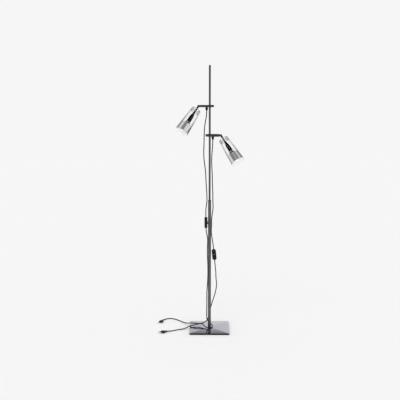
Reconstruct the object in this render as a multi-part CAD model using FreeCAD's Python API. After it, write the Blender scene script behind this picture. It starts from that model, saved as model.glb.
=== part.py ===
import FreeCAD, Part
import math
import os

# Free-standing floor lamp with two adjustable spots on one slim pole.
# Millimetres, +Z up. The origin is on the floor under the middle of the base plate, -Y is the front.
# Each spot is a lamp: a round bracket on the pole, an elbow that turns in it, a stem, a holder and a shade.

# Base
PLATE_SIZE = 240.0
PLATE_THICKNESS = 8.0
PLATE_CHAMFER = 0.6
PAD_SIZE = 232.0
PAD_THICKNESS = 2.0
PLATE_TOP = PAD_THICKNESS + PLATE_THICKNESS
COUNTERBORE_R = 10.0
COUNTERBORE_DEPTH = 5.0
BOLT_R = 4.0
BOLT_HEAD_R = 7.0
BOLT_HEAD_HEIGHT = 3.3
WASHER_R = 9.0
WASHER_THICKNESS = 1.5
FOOT_PLUG_HEIGHT = 30.0
BOLT_REACH = 20.0
BOLT_END_SPACE = 4.0

# Pole
TUBE_R = 9.5
TUBE_BORE_R = 8.0
TUBE_TOP = 803.0
FERRULE_TOP = 809.5
FERRULE_TIP_R = 7.0
FERRULE_SPIGOT = 33.0
FERRULE_COLLAR = 1.5
FERRULE_SHOULDER = (8.9, 807.5, "arc")
ROD_R = 6.0
ROD_BORE_R = 4.6
ROD_TOP = 1604.0
POLE_TOP = 1614.0
CAP_SPIGOT = 12.0
CAP_ROUND = 2.5
CAP_ROUND_MIDDLE = (5.1, 1613.2, "arc")

# Lamps: disc mid-height, the side that the bracket points to, and the elbow's roll towards the front
LAMPS = {
    "upper": {"height": 1374.0, "turn": 180.0, "roll": 30.0},
    "lower": {"height": 1200.5, "turn": 0.0, "roll": -30.0},
}

# Bracket: a flat round box whose centre stands off the pole, +X outward, z = 0 at its mid-height
DISC_R = 44.0
DISC_OFFSET = 18.5
DISC_HALF_HEIGHT = 6.5
DISC_WALL = 1.5
SHELL_TOP = DISC_HALF_HEIGHT - DISC_WALL
RUNNING_GAP = 0.05
BUSH_R = 9.0
BUSH_FLANGE_R = 11.6
BUSH_FLANGE_HALF = 1.0
BUSH_BOSS_R = 12.0
FLANGE_GAP = 0.1
SPINDLE_BLOCK = (50.0, 61.0)
SPINDLE_BLOCK_HALF_WIDTH = 7.0
LIP_HEIGHT = 1.5
SCREW_CIRCLE_R = 36.0
SCREW_ANGLES = (60.0, 180.0, 300.0)
SCREW_R = 1.5
SCREW_HEAD_R = 3.0
SCREW_TIP = 3.0
SCREW_POST_R = 3.2
GRIP_R = 7.5
GRIP_TIP_R = 4.4
GRIP_LENGTH = 20.2
GRIP_STRAIGHT = 10.0
GRIP_NECK_R = 5.0
GRIP_FLANGE_R = 6.2
GRIP_FLANGE_THICKNESS = 1.5
TERMINAL_SIZE = (15.0, 24.0, 7.4)
TERMINAL_START = 26.0
TERMINAL_HOLE_R = 1.8
TERMINAL_HOLE_INSET = 3.5
TERMINAL_HOLE_FLOOR = 3.0

# Elbow
PIVOT = 66.5
STEM_ANGLE = 60.0
KNUCKLE_START = 62.8
KNUCKLE_END = 73.5
KNUCKLE_R = 6.3
KNUCKLE_ROUND = 2.0
SPINDLE_R = 4.0
SPINDLE_THREAD_R = 2.8
SPINDLE_END = 43.0
WIRE_BORE_R = 1.6
NUT_RANGE = (45.2, 49.7)
NUT_FLATS = 8.2
ELBOW_ROOT_R = 6.0
ELBOW_ROOT_END = 14.0
ELBOW_SPIGOT_END = 24.0

# Stem and holder: stations along the stem's axis, from the pivot outward
STEM_R = 5.5
STEM_BORE_R = 4.0
CAP_START = 54.0
STEM_END = 68.0
CAP_NECK_R = 6.5
CAP_SHOULDER = 70.0
CAP_FLARE = 78.0
CAP_FLARE_R = 11.5
CAP_WALL = 1.4
BODY_START = 84.0
BODY_START_R = 12.0
BODY_END = 125.0
BODY_END_R = 13.5
BODY_BORE_R = 10.0
BODY_LIP = 1.0
GROOVES = (92.0, 96.0, 100.0)
GROOVE_DEPTH = 0.6
GROOVE_WIDTH = 2.0
THREAD_R = 11.9
CARRIER_THICKNESS = 1.5
THREAD_END = 133.0
RING_R = 14.2
RING_CHAMFER = 0.8
INSERT_START = 90.0
INSERT_END = 128.0
SOCKET_BOTTOM = 102.0
SOCKET_R = 7.1
WIRE_HOLE_R = 1.5
WIRE_HOLE_SPACING = 9.0
WIRE_HOLE_END = 98.0

# Bulb
BULB_TIP = 103.0
BULB_BASE_R = 7.0
BULB_BASE_END = 130.0
BULB_CONTACT_R = 2.5
BULB_CONTACT_HEIGHT = 1.5
BULB_BASE_TAPER = 4.0
BULB_NECK_R = 6.8
BULB_NECK_LENGTH = 6.0
BULB_SHOULDER = 171.0
BULB_R = 25.0
BULB_END = 190.0
BULB_WALL = 1.0

# Shade: a straight cone, its upper part glass and its lower part a metal band
SHADE_START = 30.0
SHADE_START_R = 29.5
SHADE_END = 200.0
SHADE_END_R = 41.0
BAND_START = 144.0
BAND_WALL = 1.2
GLASS_END = 148.0
GLASS_WALL = 4.0
COLLAR_R = 19.5
COLLAR_END = 44.0
COLLAR_ROUND = 1.5
COLLAR_SLOPE = 4.0
ARM_WIDTH = 9.0
ARM_FOOT_START = 30.5
ARM_TAB_END = 157.0
ARM_TAB_R = 34.0
ARM_TURNS = (0.0, 120.0, 240.0)
HUB_RIM = 4.0
HUB_OVERLAP = 1.0
ARM_BEND = 1.2

# Inline switches: length along the lead, width across, thickness towards the rocker's face
SWITCH_LENGTH = 66.0
SWITCH_WIDTH = 26.0
SWITCH_THICKNESS = 17.5
SWITCH_CORNER = 7.0
SWITCH_WALL = 1.6
SWITCH_CHAMFER = 1.2
ROCKER_WIDTH = 11.4
ROCKER_SWEEP_R = 9.6
ROCKER_PIVOT = 14.5
ROCKER_FLOOR = 11.5
ROCKER_VALLEY = 19.0
ROCKER_RIDGE = 22.0
ROCKER_RIDGE_REACH = 8.5
ROCKER_TILT = 6.0
ROCKER_PIN_R = 1.2
ROCKER_PIN_REACH = 7.6
WINDOW_LENGTH = 20.0
WINDOW_WIDTH = 12.0
UPPER_SWITCH_FACE = (1, 0, 0)
LOWER_SWITCH_FACE = (0, -1, 0)
CHEEK_RANGE = (6.2, 8.2)
CHEEK_DEPTH = 12.5
CHEEK_HALF_LENGTH = 3.0
PIN_HOLE_SPACE = 0.3

# Plugs: a flat two-pin plug on the floor, its length along the lead's last run
PLUG_LENGTH = 36.0
PLUG_THICKNESS = 13.2
PLUG_LIFT = 0.3
PLUG_HALF_WIDTHS = ((0.0, 4.6), (11.0, 5.6), (21.0, 13.0), (32.0, 13.0), (36.0, 11.0))
PIN_R = 2.0
PIN_LENGTH = 19.0
PIN_SPACING = 18.6
PIN_CHAMFER = 0.8
PLUG_CHAMFER = 1.5

# Leads: diameter and the points of each route, from the grip to the switch and from there to the plug
LEAD_R = 3.0
LEAD_ARC_SHARE = 0.45
UPPER_HANGING_ROUTE = [
    (-18.5, 0, 1347.3), (-18.5, 0, 1322), (-24.5, -2.5, 1289), (-31.5, -4, 1250), (-33.3, -5, 1200),
    (-34.2, -6, 1150), (-36.2, -7, 1092), (-33, -8, 1042), (-24.5, -9, 990), (-22, -11, 925),
    (-17.5, -12, 865), (-15, -13, 806), (-21.5, -15, 768), (-23, -16, 736), (-22.2, -16, 707),
]
UPPER_FLOOR_ROUTE = [
    (-22, -16, 641), (-19.3, -15.5, 613), (-10.5, -14, 574), (-13, -12, 524), (-13.5, -11, 470),
    (-10, -12, 415), (-9.5, -13, 355), (-11.5, -11, 300), (-15.5, -9, 245), (-16, -6, 190),
    (-16, -2, 148), (-17, 3, 112), (-17, 7, 84), (-16, 16, 60), (-9, 27, 40), (6, 28, 26),
    (18, 17, 17), (20, -3, 14), (12.5, -21.5, 13.5), (-4, -31, 14), (-22, -26.5, 17.5),
    (-32.5, -10, 23), (-40, 7, 26.5), (-56, 16, 27.5), (-78, 18, 27.5), (-100, 23, 27), (-120, 38, 23),
    (-139, 62, 14), (-157, 96, 6), (-184, 134, 3), (-216, 171, 3), (-248, 190, 3), (-275, 184, 3),
    (-293, 164, 3.5), (-300.5, 138.8, 6.9),
]
LOWER_HANGING_ROUTE = [
    (18.5, 0, 1173.8), (18.5, 0, 1148), (15, -2, 1108), (11.5, -5, 1062), (12.5, -8, 1015),
    (16, -10, 965), (16.5, -11, 910), (19.5, -12, 858), (19.5, -13, 805), (22, -14, 765),
    (16, -15, 727), (12, -15, 690), (12.5, -15, 652), (9.8, -15, 620), (15, -15, 578),
    (22.5, -14, 538), (25, -14, 508.3),
]
LOWER_FLOOR_ROUTE = [
    (31.5, -14, 442.7), (34, -12.5, 413), (39, -8, 368), (40, -4, 325), (45, 0, 285), (40, 5, 245),
    (29, 11, 203), (16, 17, 162), (6, 21, 124), (-0.5, 25, 93), (-5.5, 28.5, 68), (-12, 31, 49),
    (-24, 28, 35), (-42, 26, 27), (-64, 27, 22), (-86, 23, 19), (-105, 10, 17), (-123, -3, 16.5),
    (-141, -14, 10), (-164, -21, 3.5), (-194, -32, 3), (-220, -48, 3), (-240, -60, 3.5),
    (-260, -71, 6.9),
]

X_AXIS = FreeCAD.Vector(1, 0, 0)
Y_AXIS = FreeCAD.Vector(0, 1, 0)
Z_AXIS = FreeCAD.Vector(0, 0, 1)
ORIGIN = FreeCAD.Vector(0, 0, 0)


# ---------------------------------------------------------------- simple shapes

def rod(radius, start, end, axis=Z_AXIS, x=0.0, y=0.0):
    """Cylinder along an axis, from one station to the other."""
    base = FreeCAD.Vector(x, y, 0) + axis * start
    return Part.makeCylinder(radius, end - start, base, axis)


def ring(bore, radius, start, end, axis=Z_AXIS, x=0.0, y=0.0):
    """Cylinder with a bore right through it."""
    return rod(radius, start, end, axis, x, y).cut(rod(bore, start, end, axis, x, y))


def block(low, high):
    """Box between two corners."""
    size = [high[i] - low[i] for i in range(3)]
    return Part.makeBox(size[0], size[1], size[2], FreeCAD.Vector(*low))


def turned(profile):
    """Solid of revolution about Z; the profile is (radius, station) points, a triple is an arc's middle."""
    points = [FreeCAD.Vector(p[0], 0, p[1]) for p in profile]
    edges = []
    index = 0
    while index < len(points):
        following = (index + 1) % len(points)
        if len(profile[following]) == 3:
            last = (index + 2) % len(points)
            edges.append(Part.Arc(points[index], points[following], points[last]).toShape())
            index += 2
        else:
            edges.append(Part.LineSegment(points[index], points[following]).toShape())
            index += 1
    face = Part.Face(Part.Wire(edges))
    return face.revolve(ORIGIN, Z_AXIS, 360)


def prism(outline, start, end):
    """Straight prism over an outline of (x, y) points."""
    points = [FreeCAD.Vector(p[0], p[1], start) for p in outline]
    wire = Part.makePolygon(points + points[:1])
    return Part.Face(wire).extrude(Z_AXIS * (end - start))


def moved(shape, placement):
    """Copy of a shape, carried by a placement."""
    copy = shape.copy()
    copy.Placement = placement.multiply(copy.Placement)
    return copy


# ---------------------------------------------------------------- base and pole

def make_base():
    half = PLATE_SIZE / 2
    plate = block((-half, -half, PAD_THICKNESS), (half, half, PLATE_TOP))
    plate = plate.makeChamfer(PLATE_CHAMFER, plate.Edges)
    counterbore_top = PAD_THICKNESS + COUNTERBORE_DEPTH
    plate = plate.cut(rod(COUNTERBORE_R, 0, counterbore_top))
    plate = plate.cut(rod(BOLT_R, 0, PLATE_TOP))
    pad_half = PAD_SIZE / 2
    pad = block((-pad_half, -pad_half, 0), (pad_half, pad_half, PAD_THICKNESS))
    washer_bottom = counterbore_top - WASHER_THICKNESS
    washer = ring(BOLT_R, WASHER_R, washer_bottom, counterbore_top)
    bolt = rod(BOLT_HEAD_R, washer_bottom - BOLT_HEAD_HEIGHT, washer_bottom)
    bolt = bolt.fuse(rod(BOLT_R, washer_bottom, PLATE_TOP + BOLT_REACH)).removeSplitter()
    plug = rod(TUBE_BORE_R, PLATE_TOP, PLATE_TOP + FOOT_PLUG_HEIGHT)
    plug = plug.cut(rod(BOLT_R, PLATE_TOP, PLATE_TOP + BOLT_REACH + BOLT_END_SPACE))
    return {
        "base_plate": plate,
        "base_pad": pad,
        "pole_bolt": bolt,
        "bolt_washer": washer,
        "foot_plug": plug,
    }


def make_pole():
    tube = ring(TUBE_BORE_R, TUBE_R, PLATE_TOP, TUBE_TOP)
    spigot_end = TUBE_TOP - FERRULE_SPIGOT
    ferrule = turned([
        (ROD_R, spigot_end), (TUBE_BORE_R, spigot_end), (TUBE_BORE_R, TUBE_TOP), (TUBE_R, TUBE_TOP),
        (TUBE_R, TUBE_TOP + FERRULE_COLLAR), FERRULE_SHOULDER, (FERRULE_TIP_R, FERRULE_TOP),
        (ROD_R, FERRULE_TOP),
    ])
    upper = ring(ROD_BORE_R, ROD_R, spigot_end, ROD_TOP)
    cap = turned([
        (0, ROD_TOP - CAP_SPIGOT), (ROD_BORE_R, ROD_TOP - CAP_SPIGOT), (ROD_BORE_R, ROD_TOP),
        (ROD_R, ROD_TOP), (ROD_R, POLE_TOP - CAP_ROUND), CAP_ROUND_MIDDLE,
        (ROD_R - CAP_ROUND, POLE_TOP), (0, POLE_TOP),
    ])
    return {"lower_tube": tube, "tube_ferrule": ferrule, "upper_rod": upper, "top_cap": cap}


# ---------------------------------------------------------------- bracket, in its own frame

def screw_places():
    places = []
    for angle in SCREW_ANGLES:
        turn = math.radians(angle)
        x = DISC_OFFSET + SCREW_CIRCLE_R * math.cos(turn)
        places.append((x, SCREW_CIRCLE_R * math.sin(turn)))
    return places


def screw_head(x, y):
    bottom = FreeCAD.Vector(x, y, -DISC_HALF_HEIGHT)
    return Part.makeCone(SCREW_HEAD_R, SCREW_R, DISC_WALL, bottom)


def make_disc_shell():
    floor_top = -DISC_HALF_HEIGHT + DISC_WALL
    shell = rod(DISC_R, -DISC_HALF_HEIGHT, SHELL_TOP, x=DISC_OFFSET)
    shell = shell.cut(rod(DISC_R - DISC_WALL, floor_top, SHELL_TOP, x=DISC_OFFSET))
    shell = shell.fuse(rod(BUSH_BOSS_R, floor_top, -BUSH_FLANGE_HALF - FLANGE_GAP))
    width = SPINDLE_BLOCK_HALF_WIDTH
    start, end = SPINDLE_BLOCK
    shell = shell.fuse(block((start, -width, floor_top), (end, width, SHELL_TOP)))
    shell = shell.cut(rod(BUSH_R + RUNNING_GAP, -DISC_HALF_HEIGHT, SHELL_TOP))
    shell = shell.cut(rod(SPINDLE_R + RUNNING_GAP, start - 1, KNUCKLE_START, X_AXIS))
    shell = shell.cut(rod(GRIP_NECK_R, -DISC_HALF_HEIGHT, floor_top, x=DISC_OFFSET))
    for x, y in screw_places():
        shell = shell.cut(screw_head(x, y))
    return shell


def make_disc_cover():
    cover = rod(DISC_R, SHELL_TOP, DISC_HALF_HEIGHT, x=DISC_OFFSET)
    lip_r = DISC_R - DISC_WALL
    lip = ring(lip_r - DISC_WALL, lip_r, SHELL_TOP - LIP_HEIGHT, SHELL_TOP, x=DISC_OFFSET)
    width = SPINDLE_BLOCK_HALF_WIDTH + 1
    lip = lip.cut(block((SPINDLE_BLOCK[0], -width, 0), (DISC_OFFSET + DISC_R, width, SHELL_TOP)))
    cover = cover.fuse(lip)
    cover = cover.fuse(rod(BUSH_BOSS_R, BUSH_FLANGE_HALF + FLANGE_GAP, SHELL_TOP))
    cover = cover.cut(rod(BUSH_R + RUNNING_GAP, 0, DISC_HALF_HEIGHT))
    floor_top = -DISC_HALF_HEIGHT + DISC_WALL
    for x, y in screw_places():
        cover = cover.fuse(ring(SCREW_R, SCREW_POST_R, floor_top, SHELL_TOP, x=x, y=y))
    return cover.removeSplitter()


def make_cover_screws():
    screws = []
    for x, y in screw_places():
        shank = rod(SCREW_R, -DISC_HALF_HEIGHT + DISC_WALL, SCREW_TIP, x=x, y=y)
        screws.append(screw_head(x, y).fuse(shank).removeSplitter())
    return Part.makeCompound(screws)


def make_slide_bush():
    bush = rod(BUSH_R, -DISC_HALF_HEIGHT, DISC_HALF_HEIGHT)
    bush = bush.fuse(rod(BUSH_FLANGE_R, -BUSH_FLANGE_HALF, BUSH_FLANGE_HALF))
    return bush.cut(rod(ROD_R + RUNNING_GAP, -DISC_HALF_HEIGHT, DISC_HALF_HEIGHT)).removeSplitter()


def make_cord_grip():
    under = -DISC_HALF_HEIGHT
    floor_top = under + DISC_WALL
    flange_top = floor_top + GRIP_FLANGE_THICKNESS
    grip = turned([
        (0, under - GRIP_LENGTH), (GRIP_TIP_R, under - GRIP_LENGTH), (GRIP_R, under - GRIP_STRAIGHT),
        (GRIP_R, under), (GRIP_NECK_R, under), (GRIP_NECK_R, floor_top),
        (GRIP_FLANGE_R, floor_top), (GRIP_FLANGE_R, flange_top), (0, flange_top),
    ])
    return moved(grip, FreeCAD.Placement(X_AXIS * DISC_OFFSET, FreeCAD.Rotation()))


def make_terminal_block():
    length, width, height = TERMINAL_SIZE
    bottom = -DISC_HALF_HEIGHT + DISC_WALL
    start = TERMINAL_START
    body = block((start, -width / 2, bottom), (start + length, width / 2, bottom + height))
    for y in (-width / 4, width / 4):
        for x in (start + TERMINAL_HOLE_INSET, start + length - TERMINAL_HOLE_INSET):
            hole = rod(TERMINAL_HOLE_R, bottom + TERMINAL_HOLE_FLOOR, bottom + height, x=x, y=y)
            body = body.cut(hole)
    return body


def make_elbow_nut():
    start, end = NUT_RANGE
    corner = NUT_FLATS / 2 / math.cos(math.radians(30))
    outline = [
        (corner * math.cos(math.radians(60 * k)), corner * math.sin(math.radians(60 * k)))
        for k in range(6)
    ]
    nut = prism(outline, start, end).cut(rod(SPINDLE_THREAD_R, start, end))
    return moved(nut, FreeCAD.Placement(ORIGIN, FreeCAD.Rotation(Y_AXIS, 90)))


# ---------------------------------------------------------------- head, along its stem's axis

def shade_radius(station):
    """Outer radius of the shade's cone at a station."""
    share = (station - SHADE_START) / (SHADE_END - SHADE_START)
    return SHADE_START_R + share * (SHADE_END_R - SHADE_START_R)


def tilted(shape):
    """Carries a shape from the stem's own axis to the elbow's pivot, stem pointing down and outward."""
    turn = FreeCAD.Rotation(Y_AXIS, 90 + STEM_ANGLE)
    return moved(shape, FreeCAD.Placement(X_AXIS * PIVOT, turn))


def make_stem_elbow():
    knuckle = rod(KNUCKLE_R, KNUCKLE_START, KNUCKLE_END, X_AXIS)
    outer_edges = [e for e in knuckle.Edges if e.CenterOfMass.x > KNUCKLE_END - 0.1]
    knuckle = knuckle.makeFillet(KNUCKLE_ROUND, outer_edges)
    elbow = knuckle.fuse(rod(SPINDLE_R, SPINDLE_BLOCK[0], KNUCKLE_START, X_AXIS))
    elbow = elbow.fuse(rod(SPINDLE_THREAD_R, SPINDLE_END, SPINDLE_BLOCK[0], X_AXIS))
    root = tilted(rod(ELBOW_ROOT_R, 0, ELBOW_ROOT_END))
    rim_side = block((0, -DISC_R, -DISC_R), (KNUCKLE_START, DISC_R, DISC_R))
    elbow = elbow.fuse(root.cut(rim_side))
    elbow = elbow.fuse(tilted(rod(STEM_BORE_R, ELBOW_ROOT_END, ELBOW_SPIGOT_END)))
    elbow = elbow.cut(rod(WIRE_BORE_R, SPINDLE_END, PIVOT, X_AXIS))
    return elbow.cut(tilted(rod(WIRE_BORE_R, 0, ELBOW_SPIGOT_END)))


def make_holder():
    joint_r = BODY_START_R - CAP_WALL
    inside = CAP_FLARE + BODY_LIP
    cap = turned([
        (STEM_R, CAP_START), (CAP_NECK_R, CAP_START), (CAP_NECK_R, CAP_SHOULDER),
        (CAP_FLARE_R, CAP_FLARE), (BODY_START_R, BODY_START), (joint_r, BODY_START),
        (joint_r, inside), (joint_r - BODY_LIP, inside),
        (STEM_BORE_R, STEM_END + CAP_WALL), (STEM_BORE_R, STEM_END), (STEM_R, STEM_END),
    ])
    outline = [(BODY_BORE_R - BODY_LIP, inside), (joint_r, inside), (joint_r, BODY_START)]
    outline += [(BODY_START_R, BODY_START)]
    slope = (BODY_END_R - BODY_START_R) / (BODY_END - BODY_START)
    for start in GROOVES:
        radius = BODY_START_R + slope * (start - BODY_START)
        end = start + GROOVE_WIDTH
        floor_r = radius - GROOVE_DEPTH
        outline += [(radius, start), (floor_r, start + GROOVE_DEPTH), (floor_r, end - GROOVE_DEPTH)]
        outline += [(radius + GROOVE_WIDTH * slope, end)]
    outline += [(BODY_END_R, BODY_END), (THREAD_R, BODY_END), (THREAD_R, THREAD_END)]
    outline += [(BODY_BORE_R, THREAD_END), (BODY_BORE_R, INSERT_START)]
    outline += [(BODY_BORE_R - BODY_LIP, INSERT_START)]
    body = turned(outline)
    clamp_start = BODY_END + CARRIER_THICKNESS
    holder_ring = turned([
        (THREAD_R, clamp_start), (RING_R - RING_CHAMFER, clamp_start),
        (RING_R, clamp_start + RING_CHAMFER), (RING_R, THREAD_END - RING_CHAMFER),
        (RING_R - RING_CHAMFER, THREAD_END), (THREAD_R, THREAD_END),
    ])
    insert = turned([
        (0, INSERT_START), (BODY_BORE_R, INSERT_START), (BODY_BORE_R, INSERT_END),
        (SOCKET_R, INSERT_END), (SOCKET_R, SOCKET_BOTTOM), (0, SOCKET_BOTTOM),
    ])
    for x in (-WIRE_HOLE_SPACING / 2, WIRE_HOLE_SPACING / 2):
        insert = insert.cut(rod(WIRE_HOLE_R, INSERT_START, WIRE_HOLE_END, x=x))
    return {"holder_cap": cap, "holder_body": body, "holder_ring": holder_ring, "holder_insert": insert}


def bulb_form(inset):
    """Reflector bulb's outline as a solid: neck, cone and a ball-shaped end, drawn in by the inset."""
    widest = BULB_R - inset
    rise = BULB_END - inset - BULB_SHOULDER
    ball_r = (widest ** 2 + rise ** 2) / (2 * rise)
    half_angle = math.asin(widest / ball_r) / 2
    ball_centre = BULB_END - inset - ball_r
    middle = (ball_r * math.sin(half_angle), ball_centre + ball_r * math.cos(half_angle), "arc")
    neck = BULB_NECK_R - inset
    return turned([
        (0, BULB_BASE_END), (neck, BULB_BASE_END), (neck, BULB_BASE_END + BULB_NECK_LENGTH),
        (widest, BULB_SHOULDER), middle, (0, BULB_END - inset),
    ])


def make_bulb():
    contact_end = BULB_TIP + BULB_CONTACT_HEIGHT
    base = turned([
        (0, BULB_TIP), (BULB_CONTACT_R, BULB_TIP), (BULB_CONTACT_R, contact_end),
        (BULB_BASE_R, contact_end + BULB_BASE_TAPER), (BULB_BASE_R, BULB_BASE_END), (0, BULB_BASE_END),
    ])
    glass = bulb_form(0).cut(bulb_form(BULB_WALL))
    return {"bulb_base": base, "bulb_glass": glass}


def make_shade():
    rounded = SHADE_START + COLLAR_ROUND
    slope_end = COLLAR_END + COLLAR_SLOPE
    glass = turned([
        (COLLAR_R, rounded), (COLLAR_R + COLLAR_ROUND, SHADE_START),
        (SHADE_START_R - COLLAR_ROUND, SHADE_START), (shade_radius(rounded), rounded),
        (shade_radius(BAND_START), BAND_START), (shade_radius(BAND_START) - BAND_WALL, BAND_START),
        (shade_radius(GLASS_END) - BAND_WALL, GLASS_END),
        (shade_radius(GLASS_END) - GLASS_WALL, GLASS_END),
        (shade_radius(slope_end) - GLASS_WALL, slope_end), (COLLAR_R, COLLAR_END),
    ])
    band = turned([
        (shade_radius(BAND_START) - BAND_WALL, BAND_START), (shade_radius(BAND_START), BAND_START),
        (SHADE_END_R, SHADE_END), (SHADE_END_R - BAND_WALL, SHADE_END),
    ])
    return {"shade_glass": glass, "shade_band": band}


def make_shade_carrier():
    hub_r = THREAD_R + HUB_RIM
    arm_start = THREAD_R + HUB_OVERLAP
    clamp_end = BODY_END + CARRIER_THICKNESS
    foot_end = GLASS_END + CARRIER_THICKNESS
    reach = SHADE_END_R
    arm_outline = [
        (arm_start, BODY_END), (hub_r + ARM_BEND, BODY_END), (ARM_FOOT_START + ARM_BEND, GLASS_END),
        (reach, GLASS_END), (reach, ARM_TAB_END), (ARM_TAB_R, ARM_TAB_END), (ARM_TAB_R, foot_end),
        (ARM_FOOT_START, foot_end), (hub_r, clamp_end), (arm_start, clamp_end),
    ]
    flat_arm = prism(arm_outline, -ARM_WIDTH / 2, ARM_WIDTH / 2)
    arm = moved(flat_arm, FreeCAD.Placement(ORIGIN, FreeCAD.Rotation(X_AXIS, 90)))
    carrier = ring(THREAD_R, hub_r, BODY_END, clamp_end)
    for turn in ARM_TURNS:
        carrier = carrier.fuse(moved(arm, FreeCAD.Placement(ORIGIN, FreeCAD.Rotation(Z_AXIS, turn))))
    gap = BAND_WALL + RUNNING_GAP
    bore = turned([
        (0, SHADE_START), (SHADE_START_R - gap, SHADE_START),
        (SHADE_END_R - gap, SHADE_END), (0, SHADE_END),
    ])
    return carrier.common(bore).cut(rod(THREAD_R, BODY_END, clamp_end)).removeSplitter()


def make_lamp(lamp):
    """All pieces of one lamp, placed on the pole."""
    bracket = {
        "slide_bush": make_slide_bush(),
        "disc_shell": make_disc_shell(),
        "disc_cover": make_disc_cover(),
        "cover_screws": make_cover_screws(),
        "cord_grip": make_cord_grip(),
        "terminal_block": make_terminal_block(),
    }
    head = {"stem_elbow": make_stem_elbow(), "elbow_nut": make_elbow_nut()}
    along_stem = {"stem_tube": ring(STEM_BORE_R, STEM_R, ELBOW_ROOT_END, STEM_END)}
    along_stem.update(make_holder())
    along_stem.update(make_bulb())
    along_stem.update(make_shade())
    along_stem["shade_carrier"] = make_shade_carrier()
    for name, shape in along_stem.items():
        head[name] = tilted(shape)
    turn = FreeCAD.Rotation(Z_AXIS, lamp["turn"])
    place = FreeCAD.Placement(Z_AXIS * lamp["height"], turn)
    roll = FreeCAD.Placement(ORIGIN, FreeCAD.Rotation(X_AXIS, lamp["roll"]))
    pieces = {name: moved(shape, place) for name, shape in bracket.items()}
    for name, shape in head.items():
        pieces[name] = moved(shape, place.multiply(roll))
    return pieces


# ---------------------------------------------------------------- switches and plugs

def switch_outline(inset):
    """Half-octagon ends on a rectangle, drawn in by the inset; x runs across, y along the lead."""
    half_width = SWITCH_WIDTH / 2 - inset
    half_length = SWITCH_LENGTH / 2 - inset
    corner = SWITCH_CORNER - inset * (2 - math.sqrt(2))
    right = [(half_width, -half_length + corner), (half_width, half_length - corner)]
    top = [(half_width - corner, half_length), (-half_width + corner, half_length)]
    left = [(-half_width, half_length - corner), (-half_width, -half_length + corner)]
    bottom = [(-half_width + corner, -half_length), (half_width - corner, -half_length)]
    return right + top + left + bottom


def make_switch():
    """Switch in its own frame: x across, y along the lead, z from its back to the rocker's face."""
    middle = SWITCH_THICKNESS / 2
    base = prism(switch_outline(0), 0, middle)
    back_edges = [e for e in base.Edges if e.BoundBox.ZMax < 0.01]
    base = base.makeChamfer(SWITCH_CHAMFER, back_edges)
    base = base.cut(prism(switch_outline(SWITCH_WALL), SWITCH_WALL, middle))
    cover = prism(switch_outline(0), middle, SWITCH_THICKNESS)
    face_edges = [e for e in cover.Edges if e.BoundBox.ZMin > SWITCH_THICKNESS - 0.01]
    cover = cover.makeChamfer(SWITCH_CHAMFER, face_edges)
    inside_top = SWITCH_THICKNESS - SWITCH_WALL
    cover = cover.cut(prism(switch_outline(SWITCH_WALL), middle, inside_top))
    half_x = WINDOW_WIDTH / 2
    half_y = WINDOW_LENGTH / 2
    cover = cover.cut(block((-half_x, -half_y, middle), (half_x, half_y, SWITCH_THICKNESS + 1)))
    for side in (-1, 1):
        near, far = sorted((side * CHEEK_RANGE[0], side * CHEEK_RANGE[1]))
        cheek_low = (near, -CHEEK_HALF_LENGTH, CHEEK_DEPTH)
        cheek = block(cheek_low, (far, CHEEK_HALF_LENGTH, inside_top))
        cover = cover.fuse(cheek)
    hole_reach = ROCKER_PIN_REACH + PIN_HOLE_SPACE
    pin_hole = rod(ROCKER_PIN_R + RUNNING_GAP, -hole_reach, hole_reach, X_AXIS)
    cover = cover.cut(moved(pin_hole, FreeCAD.Placement(Z_AXIS * ROCKER_PIVOT, FreeCAD.Rotation())))
    return {"switch_base": base, "switch_cover": cover, "switch_rocker": make_rocker()}


def make_rocker():
    """Rocker whose ends are arcs about its pivot, tilted so that one end is pressed in."""
    def arc_point(height):
        return math.sqrt(ROCKER_SWEEP_R ** 2 - (height - ROCKER_PIVOT) ** 2)

    face = SWITCH_THICKNESS
    low = arc_point(ROCKER_FLOOR)
    high = arc_point(face)
    points = {
        "low_right": FreeCAD.Vector(0, low, ROCKER_FLOOR),
        "right": FreeCAD.Vector(0, ROCKER_SWEEP_R, ROCKER_PIVOT),
        "high_right": FreeCAD.Vector(0, high, face),
        "ridge_right": FreeCAD.Vector(0, ROCKER_RIDGE_REACH, ROCKER_RIDGE),
        "valley": FreeCAD.Vector(0, 0, ROCKER_VALLEY),
        "ridge_left": FreeCAD.Vector(0, -ROCKER_RIDGE_REACH, ROCKER_RIDGE),
        "high_left": FreeCAD.Vector(0, -high, face),
        "left": FreeCAD.Vector(0, -ROCKER_SWEEP_R, ROCKER_PIVOT),
        "low_left": FreeCAD.Vector(0, -low, ROCKER_FLOOR),
    }
    edges = [
        Part.LineSegment(points["low_left"], points["low_right"]).toShape(),
        Part.Arc(points["low_right"], points["right"], points["high_right"]).toShape(),
        Part.LineSegment(points["high_right"], points["ridge_right"]).toShape(),
        Part.LineSegment(points["ridge_right"], points["valley"]).toShape(),
        Part.LineSegment(points["valley"], points["ridge_left"]).toShape(),
        Part.LineSegment(points["ridge_left"], points["high_left"]).toShape(),
        Part.Arc(points["high_left"], points["left"], points["low_left"]).toShape(),
    ]
    profile = Part.Face(Part.Wire(edges))
    profile.translate(X_AXIS * (-ROCKER_WIDTH / 2))
    rocker = profile.extrude(X_AXIS * ROCKER_WIDTH)
    pin = rod(ROCKER_PIN_R, -ROCKER_PIN_REACH, ROCKER_PIN_REACH, X_AXIS)
    rocker = rocker.fuse(moved(pin, FreeCAD.Placement(Z_AXIS * ROCKER_PIVOT, FreeCAD.Rotation())))
    pivot = Z_AXIS * ROCKER_PIVOT
    return moved(rocker, FreeCAD.Placement(ORIGIN, FreeCAD.Rotation(X_AXIS, -ROCKER_TILT), pivot))


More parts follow.
